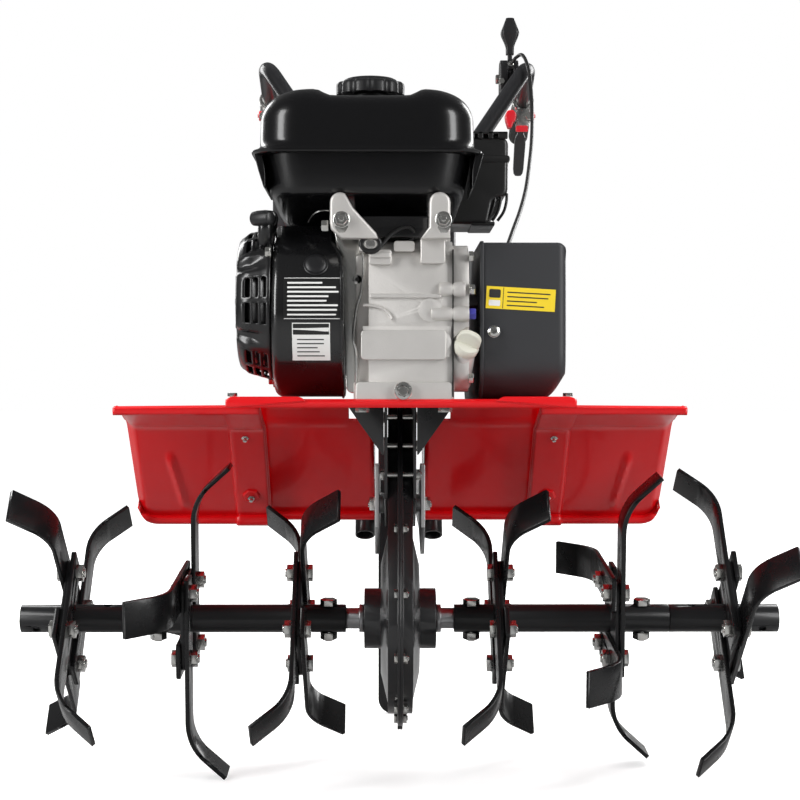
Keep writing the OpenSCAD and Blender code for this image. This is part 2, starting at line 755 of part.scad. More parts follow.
module grip(length) {
    d = bar_points[2] - bar_points[3];
    u = d / norm(d);
    difference() {
        rod(bar_points[3] - 4 * u, bar_points[3] + length * u, grip_d / 2);
        rod(bar_points[3], bar_points[3] + (length + 4) * u, bar_r + 0.02);
    }
}

module hand_grips() color("#121213") machine() both() grip(110);

// The point on the handle end of a bar at a place along Y.
function bar_at(y) = let (a = bar_points[2], b = bar_points[3])
    a + (b - a) * (y - a[1]) / (b[1] - a[1]);

module lever_bracket() difference() {
    union() {
        rod(bar_at(772), bar_at(804), 17);
        translate([192, 766, 690]) cube([20, 38, 26]);
    }
    rod(bar_at(760), bar_at(820), bar_r + 0.1);
    xrod(180, 230, 3.06, [lever_pivot[1], lever_pivot[2]]);
    xrod(180, 230, 3.06, [latch_pivot[1], latch_pivot[2]]);
    translate([196, 784, 680]) cube([12, 40, 27]);
}

module lever_brackets() color("silver") machine() both() lever_bracket();

module squeeze_lever() {
    xrod(190, 214, 3, [lever_pivot[1], lever_pivot[2]]);
    translate(lever_pivot) rotate([-45, 0, 0]) {
        translate([-4.5, -4, -5]) cube([9, 30, 10]);
        translate([-9, 24, -6]) cube([18, 80, 7]);
    }
}

module squeeze_lever_right() color("#1a1a1b") machine() squeeze_lever();
module squeeze_lever_left() color("#1a1a1b") machine() mirror([1, 0, 0]) squeeze_lever();

module latch() {
    xrod(178, 222, 3, [latch_pivot[1], latch_pivot[2]]);
    xrod(214, 220, 8, [latch_pivot[1], latch_pivot[2]]);
    translate([176, 762, 684]) cube([14, 24, 27]);
}

module latch_right() color("red") machine() latch();
module latch_left() color("red") machine() mirror([1, 0, 0]) latch();

module knob_housing() color("#1a1a1b") machine() {
    translate([158, 650, 722]) cube([12, 46, 50]);
    translate([178, 650, 722]) cube([8, 46, 50]);
    translate([158, 640, 716]) cube([28, 46, 8]);
    translate([169, 650, 757]) cube([10, 4, 15]);
}

module knob_lever() color("#151515") machine() {
    xrod(170.5, 177.5, 16, [knob_pivot[1], knob_pivot[2]]);
    translate([170.5, 668, 745]) cube([7, 8, 50]);
    translate([174, 672, 782]) cylinder(h = 18, r = 8);
    translate([174, 672, 799]) cylinder(h = 14, r1 = 8, r2 = 14);
    translate([174, 672, 812.9]) cylinder(h = 22, r1 = 14, r2 = 6);
}

// A round tube along the points: rings of eight corners, each square to the route there.
module swept(points, r) {
    n = len(points);
    sides = 8;
    function unit(v) = v / norm(v);
    rings = [for (i = [0:n - 1]) let (
        d = unit(points[min(i + 1, n - 1)] - points[max(i - 1, 0)]),
        u = unit(cross(d, [1, 0, 0])),
        v = cross(d, u))
        for (k = [0:sides - 1]) points[i] + r * (cos(45 * k) * u + sin(45 * k) * v)];
    walls = [for (i = [0:n - 2], k = [0:sides - 1]) let (a = sides * i, m = (k + 1) % sides)
        [a + k, a + m, a + sides + m, a + sides + k]];
    caps = [[for (k = [sides - 1:-1:0]) k], [for (k = [0:sides - 1]) sides * (n - 1) + k]];
    polyhedron(rings, concat(walls, caps));
}

// A smooth route through the points, five steps to each stretch.
function smooth(p, n = 5) = concat([for (i = [0:len(p) - 2], k = [0:n - 1]) let (
    t = k / n, a = p[max(i - 1, 0)], b = p[i], c = p[i + 1], d = p[min(i + 2, len(p) - 1)])
    0.5 * (2 * b + (c - a) * t + (2 * a - 5 * b + 4 * c - d) * t * t
        + (3 * b - a - 3 * c + d) * t * t * t)], [p[len(p) - 1]]);

module clutch_cable() color("#141414") machine() swept(smooth(cable_points), cable_r);

chain_case_left();
chain_case_right();
bearings();
chain();
engine_bracket();
side_plates();
frame_bolts();
fender_deck();
fender_left();
fender_right();
belt_cover();
drive_belt();
crankcase();
crankcase_cover();
cylinder_head();
blower_shroud();
recoil_cover();
fuel_tank();
tank_stays();
engine_bolts();
muffler();
muffler_guard();
carburetor();
air_cleaner();
handle_stems();
rear_hitch();
axle_shaft();
axle_sprocket();
tine_tubes();
tine_extensions();
inner_tines();
middle_tines();
outer_tines();
tine_bolts();
tube_bolts();
input_shaft();
driven_pulley();
crankshaft();
flywheel();
crank_pulley();
idler_arm();
idler_pulley();
idler_spring();
handlebar_left();
handlebar_right();
hand_grips();
lever_brackets();
knob_housing();
clutch_cable();
squeeze_lever_left();
squeeze_lever_right();
latch_left();
latch_right();
knob_lever();
fuel_cap();
dipstick();
recoil_grip();
choke_lever();
depth_stake();
hitch_pin();
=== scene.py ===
"""Looks of the mini tiller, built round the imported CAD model.

Pieces are drawn in millimetres from the tine axle's middle, +X to the right seen from the front,
-Y forward and +Z up, and at() turns such a place into the frame's metres.
"""

import json
from math import atan2, cos, pi, radians, sin, sqrt, tan

import bmesh
import bpy
from mathutils import Matrix, Vector


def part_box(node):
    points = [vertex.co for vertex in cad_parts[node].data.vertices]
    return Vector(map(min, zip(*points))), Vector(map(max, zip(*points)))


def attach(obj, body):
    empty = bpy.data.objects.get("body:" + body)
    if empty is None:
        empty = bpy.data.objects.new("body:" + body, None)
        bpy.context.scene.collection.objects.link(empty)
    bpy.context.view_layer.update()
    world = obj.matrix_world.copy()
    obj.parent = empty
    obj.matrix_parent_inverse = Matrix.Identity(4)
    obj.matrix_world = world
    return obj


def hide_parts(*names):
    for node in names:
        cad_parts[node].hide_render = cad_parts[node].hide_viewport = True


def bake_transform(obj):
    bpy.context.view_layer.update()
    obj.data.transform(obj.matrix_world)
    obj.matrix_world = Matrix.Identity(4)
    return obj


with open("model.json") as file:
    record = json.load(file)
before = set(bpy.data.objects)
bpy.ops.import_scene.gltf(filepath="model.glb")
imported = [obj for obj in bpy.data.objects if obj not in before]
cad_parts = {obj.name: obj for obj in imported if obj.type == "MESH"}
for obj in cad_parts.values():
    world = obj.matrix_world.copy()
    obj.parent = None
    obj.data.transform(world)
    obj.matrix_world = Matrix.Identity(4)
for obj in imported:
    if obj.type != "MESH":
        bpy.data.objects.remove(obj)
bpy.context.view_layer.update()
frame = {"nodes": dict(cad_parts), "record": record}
NODES = frame["nodes"]
MM = 0.001
axle_low, axle_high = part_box("axle_shaft")
AXLE = (axle_low + axle_high) / 2


def at(x, y, z):
    """A place in the frame, from millimetres measured from the middle of the tine axle."""
    return AXLE + Vector((x, y, z)) * MM


def span(node, axis):
    """A node's lowest and highest place along one axis, in millimetres from the axle's middle."""
    low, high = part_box(node)
    return (low[axis] - AXLE[axis]) / MM, (high[axis] - AXLE[axis]) / MM


def set_inputs(node, **values):
    """Sets a shader node's inputs, each named with _ in place of a space."""
    for name, value in values.items():
        node.inputs[name.replace("_", " ")].default_value = value
    return node


def node_of(tree, kind, **values):
    return set_inputs(tree.nodes.new(kind), **values)


def join(tree, *pairs):
    """Links each output to an input."""
    for output, entry in pairs:
        tree.links.new(output, entry)


# ---------------------------------------------------------------- camera, light and floor

EYE_AHEAD, EYE_HEIGHT, EYE_ASIDE = 1984, 251, -14
LENS = 77.6
WHITE = (1, 1, 1, 1)


def make_camera():
    camera = bpy.data.cameras.new("camera")
    camera.lens = LENS
    camera.sensor_width = 36
    eye = bpy.data.objects.new("camera", camera)
    eye.location = at(EYE_ASIDE, -EYE_AHEAD, EYE_HEIGHT)
    eye.rotation_euler = (radians(90), 0, atan2(EYE_ASIDE, EYE_AHEAD))
    bpy.context.scene.collection.objects.link(eye)
    bpy.context.scene.camera = eye


def area_light(name, place, target, size, power, glossy=True):
    data = bpy.data.lights.new(name, "AREA")
    data.shape = "RECTANGLE"
    data.size, data.size_y = size
    data.energy = power
    light = bpy.data.objects.new(name, data)
    light.location = place
    light.rotation_euler = (Vector(target) - Vector(place)).to_track_quat("-Z", "Y").to_euler()
    light.visible_glossy = glossy
    bpy.context.scene.collection.objects.link(light)


def make_lights():
    middle = (0, -0.2, 0.5)
    area_light("key_left", (-2.5, -2.0, 1.4), middle, (0.9, 2.4), 74)
    area_light("key_right", (2.5, -2.0, 1.4), middle, (0.9, 2.4), 66)
    area_light("top", (0, 0.5, 3.0), middle, (3.0, 1.8), 150, False)
    area_light("front", (0, -4.2, 1.6), middle, (4.6, 2.2), 20, False)
    area_light("back_left", (-2.2, 2.6, 1.8), middle, (1.0, 2.2), 45)
    area_light("back_right", (2.2, 2.6, 1.8), middle, (1.0, 2.2), 45)
    world = bpy.data.worlds.new("world")
    bpy.context.scene.world = world
    world.use_nodes = True
    tree = world.node_tree
    tree.nodes.clear()
    out = tree.nodes.new("ShaderNodeOutputWorld")
    seen = node_of(tree, "ShaderNodeBackground", Color=WHITE, Strength=1.0)
    soft = node_of(tree, "ShaderNodeBackground", Color=WHITE, Strength=0.14)
    path = tree.nodes.new("ShaderNodeLightPath")
    mix = tree.nodes.new("ShaderNodeMixShader")
    join(tree, (path.outputs["Is Camera Ray"], mix.inputs["Fac"]),
         (soft.outputs["Background"], mix.inputs[1]), (seen.outputs["Background"], mix.inputs[2]),
         (mix.outputs["Shader"], out.inputs["Surface"]))
    bpy.context.scene.view_settings.view_transform = "Standard"


def make_floor():
    """A pale floor that takes faint shadows near the machine and fades into the backdrop."""
    mesh = bpy.data.meshes.new("floor")
    half = 60
    mesh.from_pydata([(-half, -half, 0), (half, -half, 0), (half, half, 0), (-half, half, 0)], [],
                     [(0, 1, 2, 3)])
    floor = bpy.data.objects.new("floor", mesh)
    bpy.context.scene.collection.objects.link(floor)
    material = bpy.data.materials.new("floor")
    material.use_nodes = True
    tree = material.node_tree
    shader = set_inputs(tree.nodes["Principled BSDF"], Roughness=0.9, Specular_IOR_Level=0.1,
                        Emission_Color=WHITE)
    place = tree.nodes.new("ShaderNodeTexCoord").outputs["Object"]
    away = tree.nodes.new("ShaderNodeVectorMath")
    away.operation = "LENGTH"
    fade = node_of(tree, "ShaderNodeMapRange", From_Min=0.5, From_Max=2.4, To_Min=0.45,
                   To_Max=1.0)
    seen = tree.nodes.new("ShaderNodeMath")
    seen.operation = "MULTIPLY"
    view = tree.nodes.new("ShaderNodeLightPath").outputs["Is Camera Ray"]
    pale = tree.nodes.new("ShaderNodeMix")
    pale.data_type = "RGBA"
    pale.inputs[6].default_value = (0.3, 0.3, 0.3, 1)
    pale.inputs[7].default_value = (0.8, 0.8, 0.8, 1)
    join(tree, (place, away.inputs[0]), (away.outputs["Value"], fade.inputs["Value"]),
         (fade.outputs["Result"], seen.inputs[0]), (view, seen.inputs[1]), (view, pale.inputs[0]),
         (pale.outputs[2], shader.inputs["Base Color"]),
         (seen.outputs["Value"], shader.inputs["Emission Strength"]))
    mesh.materials.append(material)


# ---------------------------------------------------------------- materials

MATERIALS = {}
SCUFF_EDGE = 0.12


def add_finish(name, colour, rough, metal=0.0, specular=0.5, coat=0.0, coat_rough=0.08,
               vary=0.12, vary_scale=9.0, grain=260.0, bump=0.1, bump_depth=0.0002,
               rough_vary=0.08, wear=None, wear_size=0.5, second=None):
    """Makes a painted, moulded or metal finish. Colour and roughness drift over the surface, a
    fine grain lifts it, and wear shows another colour in scattered scuffs."""
    made = bpy.data.materials.new(name)
    made.use_nodes = True
    tree = made.node_tree
    shader = set_inputs(tree.nodes["Principled BSDF"], Metallic=metal, Coat_Weight=coat,
                        Specular_IOR_Level=specular, Coat_Roughness=coat_rough)
    place = tree.nodes.new("ShaderNodeTexCoord").outputs["Object"]

    def noise(scale, detail=3.0, roughness=0.55):
        texture = node_of(tree, "ShaderNodeTexNoise", Scale=scale, Detail=detail,
                          Roughness=roughness)
        tree.links.new(place, texture.inputs["Vector"])
        return texture.outputs["Fac"]

    def mixed(factor, first, other):
        blend = tree.nodes.new("ShaderNodeMix")
        blend.data_type = "RGBA"
        tree.links.new(factor, blend.inputs["Factor"])
        for socket, value in (("A", first), ("B", other)):
            target = [s for s in blend.inputs if s.name == socket and s.type == "RGBA"][0]
            if hasattr(value, "links"):
                tree.links.new(value, target)
            else:
                target.default_value = (*value, 1)
        return [s for s in blend.outputs if s.type == "RGBA"][0]

    drift = noise(vary_scale, 4.0)
    dark = [c * (1 - vary) for c in colour]
    light = [min(1, c * (1 + vary)) for c in (second or colour)]
    shade = mixed(drift, dark, light)
    if wear:
        scuff = node_of(tree, "ShaderNodeMapRange", From_Min=wear_size,
                        From_Max=wear_size + SCUFF_EDGE)
        tree.links.new(noise(38.0, 8.0, 0.7), scuff.inputs["Value"])
        shade = mixed(scuff.outputs["Result"], shade, wear)
    tree.links.new(shade, shader.inputs["Base Color"])
    polish = node_of(tree, "ShaderNodeMapRange", To_Min=max(0.02, rough - rough_vary),
                     To_Max=min(1, rough + rough_vary))
    tree.links.new(noise(vary_scale * 3, 6.0, 0.65), polish.inputs["Value"])
    tree.links.new(polish.outputs["Result"], shader.inputs["Roughness"])
    lift = node_of(tree, "ShaderNodeBump", Strength=bump, Distance=bump_depth)
    tree.links.new(noise(grain, 4.0), lift.inputs["Height"])
    tree.links.new(lift.outputs["Normal"], shader.inputs["Normal"])
    MATERIALS[name] = made


def make_materials():
    add_finish("case_black", (0.012, 0.012, 0.013), 0.30, coat=0.35, grain=420, bump=0.25,
               wear=(0.03, 0.03, 0.03), wear_size=0.66)
    add_finish("tine_black", (0.006, 0.006, 0.0065), 0.28, specular=0.3, coat=0.15, grain=330,
               bump=0.2, wear=(0.025, 0.024, 0.022), wear_size=0.66)
    add_finish("tube_black", (0.010, 0.010, 0.011), 0.34, specular=0.35, coat=0.15, grain=900,
               bump=0.2, vary_scale=14)
    add_finish("fender_red", (0.74, 0.002, 0.006), 0.32, specular=0.4, coat=0.3,
               coat_rough=0.06, grain=90, bump=0.12, vary=0.05, second=(0.82, 0.004, 0.008))
    add_finish("cover_black", (0.030, 0.031, 0.034), 0.52, grain=1500, bump=0.5,
               bump_depth=0.0001, vary=0.06)
    add_finish("tank_black", (0.0035, 0.0035, 0.004), 0.26, specular=0.3, coat=0.4,
               coat_rough=0.13, grain=120, bump=0.08, rough_vary=0.04)
    add_finish("shroud_black", (0.005, 0.005, 0.0055), 0.26, coat=0.6, grain=160, bump=0.12)
    add_finish("recoil_black", (0.006, 0.006, 0.0065), 0.30, coat=0.3, grain=700, bump=0.15)
    add_finish("cast_aluminium", (0.62, 0.60, 0.575), 0.46, metal=0.55, grain=650, bump=0.6,
               bump_depth=0.0003, vary=0.08, vary_scale=14, second=(0.72, 0.70, 0.675))
    add_finish("zinc", (0.62, 0.64, 0.66), 0.24, metal=1.0, grain=500, bump=0.15, vary=0.12,
               vary_scale=60, second=(0.74, 0.72, 0.66))
    add_finish("plate_steel", (0.66, 0.67, 0.67), 0.38, metal=0.6, grain=400, bump=0.2,
               vary=0.06)
    add_finish("steel", (0.42, 0.42, 0.43), 0.32, metal=1.0, grain=300, bump=0.2)
    add_finish("chain_steel", (0.12, 0.115, 0.11), 0.42, metal=0.9, grain=300, bump=0.2)
    add_finish("iron", (0.22, 0.22, 0.23), 0.48, metal=0.8, grain=500, bump=0.5)
    add_finish("belt_rubber", (0.012, 0.012, 0.012), 0.75, grain=900, bump=0.4)
    add_finish("grip_rubber", (0.010, 0.010, 0.010), 0.62, grain=1300, bump=0.5)
    add_finish("lever_plastic", (0.010, 0.010, 0.011), 0.40, grain=900, bump=0.35)
    add_finish("red_plastic", (0.60, 0.010, 0.020), 0.32, coat=0.3, grain=500, bump=0.15,
               vary=0.08)
    add_finish("cream_plastic", (0.70, 0.69, 0.60), 0.45, grain=700, bump=0.3, vary=0.05)
    add_finish("muffler_steel", (0.05, 0.05, 0.05), 0.55, metal=0.3, grain=400, bump=0.3,
               wear=(0.09, 0.06, 0.04), wear_size=0.6)
    add_finish("guard_black", (0.008, 0.008, 0.008), 0.38, coat=0.2, grain=500, bump=0.25)
    add_finish("cable_black", (0.010, 0.010, 0.010), 0.36, grain=700, bump=0.15)
    add_finish("label_yellow", (0.90, 0.66, 0.03), 0.34, grain=200, bump=0.03, vary=0.03)
    add_finish("label_white", (0.82, 0.82, 0.80), 0.35, grain=200, bump=0.03, vary=0.03)
    add_finish("label_black", (0.012, 0.012, 0.012), 0.30, grain=200, bump=0.03)
    add_finish("label_ink", (0.03, 0.028, 0.026), 0.5, grain=200, bump=0.03)
    add_finish("blue_lock", (0.05, 0.05, 0.32), 0.4, grain=400, bump=0.2)

# ---------------------------------------------------------------- shapes

def arc(cx, cy, r, a0, a1, n=6):
    """Points of an arc, its angles in degrees."""
    angles = [radians(a0 + (a1 - a0) * i / n) for i in range(n + 1)]
    return [(cx + r * cos(a), cy + r * sin(a)) for a in angles]


def round_rect(x0, x1, y0, y1, r, n=6):
    """A rectangle with round corners. r is one radius, or four: lower left, lower right, upper
    right and upper left."""
    a, b, c, d = r if isinstance(r, (list, tuple)) else (r,) * 4
    return (arc(x0 + a, y0 + a, a, 180, 270, n) + arc(x1 - b, y0 + b, b, 270, 360, n)
            + arc(x1 - c, y1 - c, c, 0, 90, n) + arc(x0 + d, y1 - d, d, 90, 180, n))


def rounded(points, radius, n=5):
    """A closed outline whose corners are eased by a radius, or by one radius for each corner."""
    made = []
    count = len(points)
    for i, p in enumerate(points):
        r = radius[i] if isinstance(radius, (list, tuple)) else radius
        p = Vector(p)
        before = Vector(points[i - 1]) - p
        after = Vector(points[(i + 1) % count]) - p
        reach = min(r, before.length * 0.49, after.length * 0.49)
        a, b = p + before.normalized() * reach, p + after.normalized() * reach
        if reach < 0.05:
            made.append(tuple(p))
            continue
        for k in range(n + 1):
            t = k / n
            made.append(tuple(a * (1 - t) ** 2 + p * 2 * t * (1 - t) + b * t * t))
    return made


def shrunk(outline, d):
    """An outline moved inwards by d."""
    count = len(outline)
    area = sum(outline[i - 1][0] * outline[i][1] - outline[i][0] * outline[i - 1][1]
               for i in range(count))
    turn = 1 if area > 0 else -1
    made = []
    for i in range(count):
        before = Vector(outline[i]) - Vector(outline[i - 1])
        after = Vector(outline[(i + 1) % count]) - Vector(outline[i])
        run = before.normalized() + after.normalized()
        if run.length < 1e-6:
            run = after
        run.normalize()
        made.append((outline[i][0] - turn * run.y * d, outline[i][1] + turn * run.x * d))
    return made


class Shape:
    """Gathers solids, in millimetres from the axle's middle, into one mesh."""

    def __init__(self):
        self.bm = bmesh.new()

    def rings(self, rings):
        """A skin over rings of points, closed at both ends. Each ring has as many points as the
        next."""
        made = [[self.bm.verts.new(Vector(p)) for p in ring] for ring in rings]
        count = len(rings[0])
        for low, high in zip(made, made[1:]):
            for k in range(count):
                m = (k + 1) % count
                self.bm.faces.new((low[k], low[m], high[m], high[k]))
        self.bm.faces.new(list(reversed(made[0])))
        self.bm.faces.new(made[-1])
        return self

    def prism(self, outline, axis, a, b, ease=0.0, steps=3, ease_b=None):
        """An outline carried along an axis from a to b, its two rims rounded by ease. The
        outline is (y, z) along x, (x, z) along y and (x, y) along z."""
        def place(p, w):
            return {"x": (w, p[0], p[1]), "y": (p[0], w, p[1]), "z": (p[0], p[1], w)}[axis]

        ends = []
        for start, turn, r in ((a, 1, ease), (b, -1, ease if ease_b is None else ease_b)):
            r = min(r, abs(b - a) * 0.5)
            turn *= 1 if b > a else -1
            end = []
            for k in range(steps + 1 if r else 1):
                t = radians(90 * k / steps) if r else radians(90)
                ring = shrunk(outline, r * (1 - sin(t)))
                end.append([place(p, start + turn * r * (1 - cos(t))) for p in ring])
            ends.append(end)
        return self.rings(ends[0] + list(reversed(ends[1])))

    def lathe(self, profile, centre, axis="x", n=48, turn=0.0):
        """A profile of (distance along, radius), spun about an axis through the centre. axis is
        x, y, z or a direction."""
        line = Vector({"x": (1, 0, 0), "y": (0, 1, 0), "z": (0, 0, 1)}.get(axis, (0, 0, 0))
                      if isinstance(axis, str) else axis).normalized()
        side = line.cross(Vector((0, 0, 1)) if abs(line.z) < 0.9 else Vector((0, 1, 0)))
        side.normalize()
        up = side.cross(line)
        rings = []
        for along, r in profile:
            ring = []
            for k in range(n):
                a = turn + 2 * pi * k / n
                ring.append(Vector(centre) + line * along
                            + (side * cos(a) + up * sin(a)) * max(r, 0.01))
            rings.append(ring)
        return self.rings(rings)

    def cyl(self, a, b, r, n=32, ease=0.6):
        """A cylinder from a to b with slightly eased rims."""
        a, b = Vector(a), Vector(b)
        length = (b - a).length
        ease = min(ease, r * 0.4, length * 0.3)
        profile = [(0, r - ease), (ease * 0.3, r - ease * 0.3), (ease, r), (length - ease, r),
                   (length - ease * 0.3, r - ease * 0.3), (length, r - ease)]
        return self.lathe(profile, a, b - a, n)

    def hexagon(self, a, b, across, turn=0.0):
        """A nut or bolt head from a to b, chamfered at b."""
        a, b = Vector(a), Vector(b)
        length = (b - a).length
        r = across / 2 / cos(radians(30))
        profile = [(0, r * 0.97), (length * 0.06, r), (length * 0.84, r), (length, r * 0.86)]
        return self.lathe(profile, a, b - a, 6, turn)

    def sweep(self, points, r, n=20):
        """A round bar along a smooth path of points."""
        path = [Vector(p) for p in points]
        last = len(path) - 1
        side = None
        rings = []
        for i, p in enumerate(path):
            run = (path[min(i + 1, last)] - path[max(i - 1, 0)]).normalized()
            if side is None:
                side = run.cross(Vector((0, 0, 1)) if abs(run.z) < 0.9 else Vector((1, 0, 0)))
            side = (side - run * side.dot(run)).normalized()
            up = side.cross(run)
            turns = [2 * pi * k / n for k in range(n)]
            rings.append([p + side * cos(a) * r + up * sin(a) * r for a in turns])
        return self.rings(rings)

    def turned(self, matrix):
        """Everything so far, moved by a matrix."""
        bmesh.ops.transform(self.bm, matrix=matrix, verts=self.bm.verts)
        return self


def merge(shape, other):
    """Adds another shape's solids to a shape."""
    fresh = {v: shape.bm.verts.new(v.co) for v in other.bm.verts}
    for f in other.bm.faces:
        shape.bm.faces.new([fresh[v] for v in f.verts])
    other.bm.free()


def eased(value, low, high):
    """0 below low, 1 above high, and a smooth ramp between."""
    t = min(1, max(0, (value - low) / (high - low)))
    return t * t * (3 - 2 * t)


def smooth_path(points, steps=8):
    """A smooth route through the points."""
    made = []
    pts = [Vector(p) for p in points]
    last = len(pts) - 1
    for i in range(last):
        a, b, c, d = pts[max(i - 1, 0)], pts[i], pts[i + 1], pts[min(i + 2, last)]
        for k in range(steps):
            t = k / steps
            made.append(0.5 * (2 * b + (c - a) * t + (2 * a - 5 * b + 4 * c - d) * t * t
                               + (3 * b - a - 3 * c + d) * t ** 3))
    made.append(pts[-1])
    return made


def bent_path(points, radius, steps=8):
    """Straight runs joined by round bends, as a bent tube has."""
    pts = [Vector(p) for p in points]
    made = [pts[0]]
    for before, p, after in zip(pts, pts[1:], pts[2:]):
        u, v = (before - p).normalized(), (after - p).normalized()
        half = u.angle(v) / 2
        reach = min(radius / tan(half), (before - p).length * 0.45, (after - p).length * 0.45)
        centre = p + (u + v).normalized() * (reach / cos(half))
        a, b = p + u * reach, p + v * reach
        for k in range(steps + 1):
            t = k / steps
            spoke = (a - centre).lerp(b - centre, t).normalized() * (a - centre).length
            made.append(centre + spoke)
    made.append(pts[-1])
    return made


def piece(name, shape, slot, body="chassis", replaces=(), material=None, angle=40, solid=0.0,
          ride=True):
    """Turns a shape into an object that rides on a body and takes a slot's finish, or another
    material. Edges sharper than angle stay sharp, and solid gives an open sheet a thickness."""
    bmesh.ops.remove_doubles(shape.bm, verts=shape.bm.verts, dist=0.001)
    bmesh.ops.recalc_face_normals(shape.bm, faces=shape.bm.faces)
    for v in shape.bm.verts:
        v.co = at(*v.co)
    mesh = bpy.data.meshes.new(name)
    shape.bm.to_mesh(mesh)
    shape.bm.free()
    mesh.polygons.foreach_set("use_smooth", [True] * len(mesh.polygons))
    made = bpy.data.objects.new(name, mesh)
    bpy.context.scene.collection.objects.link(made)
    if solid:
        wall = made.modifiers.new("wall", "SOLIDIFY")
        wall.thickness = solid * MM
        wall.offset = 0
    mesh.set_sharp_from_angle(angle=radians(angle))
    mesh.materials.append(MATERIALS[material or slot])
    if ride:
        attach(made, body)
    if replaces:
        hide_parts(*replaces)
    return made


EDGE, FINE_EDGE, SHARP_ANGLE = 0.7, 0.3, 32
FINE_NODES = {"chain", "frame_bolts", "engine_bolts", "tine_bolts", "tube_bolts"}


def dress_cad():
    """Gives every CAD node its slot's finish, and eases its sharp edges."""
    slots = {row["node"]: row["material_slot"] for row in frame["record"]["subparts"]}
    for name, made in NODES.items():
        made.data.materials.clear()
        made.data.materials.append(MATERIALS[slots[name]])
        made.data.polygons.foreach_set("use_smooth", [True] * len(made.data.polygons))
        weld = made.modifiers.new("weld", "WELD")
        weld.merge_threshold = 1e-6
        edge = made.modifiers.new("edge", "BEVEL")
        edge.width = (FINE_EDGE if name in FINE_NODES else EDGE) * MM
        edge.segments = 2
        edge.limit_method = "ANGLE"
        edge.angle_limit = radians(SHARP_ANGLE)
        edge.harden_normals = True


make_camera()
make_materials()
make_lights()
make_floor()
dress_cad()

# ---------------------------------------------------------------- fenders

SHEET = 2.2
DECK_HALF, DECK_STEP = 183, 6.1
SLOT_HALF, NOTCH_HALF = 30, 60


def walk(line, step):
    """Points along a line of corners, at even steps, with the corners kept."""
    made = [Vector(line[0])]
    for a, b in zip(line, line[1:]):
        a, b = Vector(a), Vector(b)
        count = max(1, round((b - a).length / step))
        made += [a.lerp(b, (i + 1) / count) for i in range(count)]
    return made


def sheet(name, columns, line_at, lift, keep, replaces):
    """A folded sheet: at each column x the line of (y, z) from line_at(x), lifted off it by
    lift(x, p) for beads, with the faces that keep(x, y) turns down left out."""
    shape = Shape()
    grid = []
    for x in columns:
        line = line_at(x)
        count = len(line)
        row = []
        for j, p in enumerate(line):
            run = line[min(j + 1, count - 1)] - line[max(j - 1, 0)]
            out = Vector((-run.y, run.x)).normalized()
            q = p + out * lift(x, p)
            row.append(shape.bm.verts.new((x, q.x, q.y)))
        grid.append(row)
    for i in range(len(columns) - 1):
        for j in range(len(grid[0]) - 1):
            x = (columns[i] + columns[i + 1]) / 2
            middle = (grid[i][j].co + grid[i + 1][j + 1].co) / 2
            if keep(x, middle.y):
                shape.bm.faces.new((grid[i][j], grid[i + 1][j], grid[i + 1][j + 1],
                                    grid[i][j + 1]))
    loose = [v for v in shape.bm.verts if not v.link_faces]
    bmesh.ops.delete(shape.bm, geom=loose, context="VERTS")
    piece(name, shape, "fender_red", replaces=replaces, solid=SHEET, angle=50)


def bead(distance, half, height):
    """The lift of a pressed bead with round sides, at a distance from its middle."""
    t = min(1, abs(distance) / half)
    return height * (0.5 + 0.5 * cos(pi * t))


SHELF = ((-1.5, -1.2), (-4, -2.2), (-5.4, -4.4), (-5.2, -8.4), (-3.8, -10.4))


def with_shelf(line):
    """A line whose lower end steps forward and hangs down as a stiffening lip."""
    end = Vector(line[-1])
    return line + [(end.x + y, end.y + z) for y, z in SHELF]


DECK_LINE = with_shelf([(-188.5, 243), (-188.8, 249)] + arc(-184, 251 - 3.2, 3.2, 150, 90, 4)
                       + [(28, 250)] + arc(28, 250 - 34, 34, 86, 52, 8) + [(173.5, 112.5)])


def deck_lift(x, p):
    height = bead(p.x - 66, 5, -1.8) if 62 < abs(x) < 172 else 0
    return height + (1.6 * eased(abs(x), 172, 181) if p.x > 20 else 0)


def deck_keep(x, y):
    """Leaves out the slot down the deck's middle and the notch across it."""
    if abs(x) < SLOT_HALF and y > 2:
        return False
    return not (abs(x) < NOTCH_HALF and 34 < y < 62)


def make_deck():
    line = walk(DECK_LINE, 5)
    columns = sorted([-DECK_HALF + DECK_STEP * i for i in range(61)]
                     + [-NOTCH_HALF, -SLOT_HALF - 0.5, SLOT_HALF + 0.5, NOTCH_HALF])
    sheet("fender_deck_sheet", columns, lambda x: line, deck_lift, deck_keep, ["fender_deck"])
    lips = Shape()
    for side in (-1, 1):
        rim = rounded([(side * 98, 249), (side * 105, 254.6), (side * 176, 254.6),
                       (side * 182, 252.5), (side * 183, 244), (side * 180, 243)], 4)
        lips.prism(rim, "y", -191.5, -187, 1.2)
    piece("fender_deck_lips", lips, "fender_red")


WING_IN, WING_OUT = 158, 322
STRIP_OUT = 201
WING_CORNER = 24
BEAD_START, BEAD_END = 84, 152


def wing_line(x):
    """The line of (y, z) of a wing at a distance x from the middle, with a rolled front lip and
    a round rear corner."""
    t = (x - WING_IN) / (WING_OUT - WING_IN)
    rise = 1.5 * (1 - t)
    corner = max(0, x - (WING_OUT - WING_CORNER))
    cut = WING_CORNER - sqrt(max(0, WING_CORNER ** 2 - corner ** 2))
    lip = [(-50.2, 234.5), (-52.2, 237), (-52, 241 + rise), (-48, 243 + rise),
           (-40, 241.5 + rise)]
    top = [(36, 222)] + arc(38, 222 - 26, 26, 76, 44, 7)
    low = Vector(top[-1]).lerp(Vector((163, 108)), 1 - cut / 150)
    return with_shelf(lip + top + [tuple(low)])


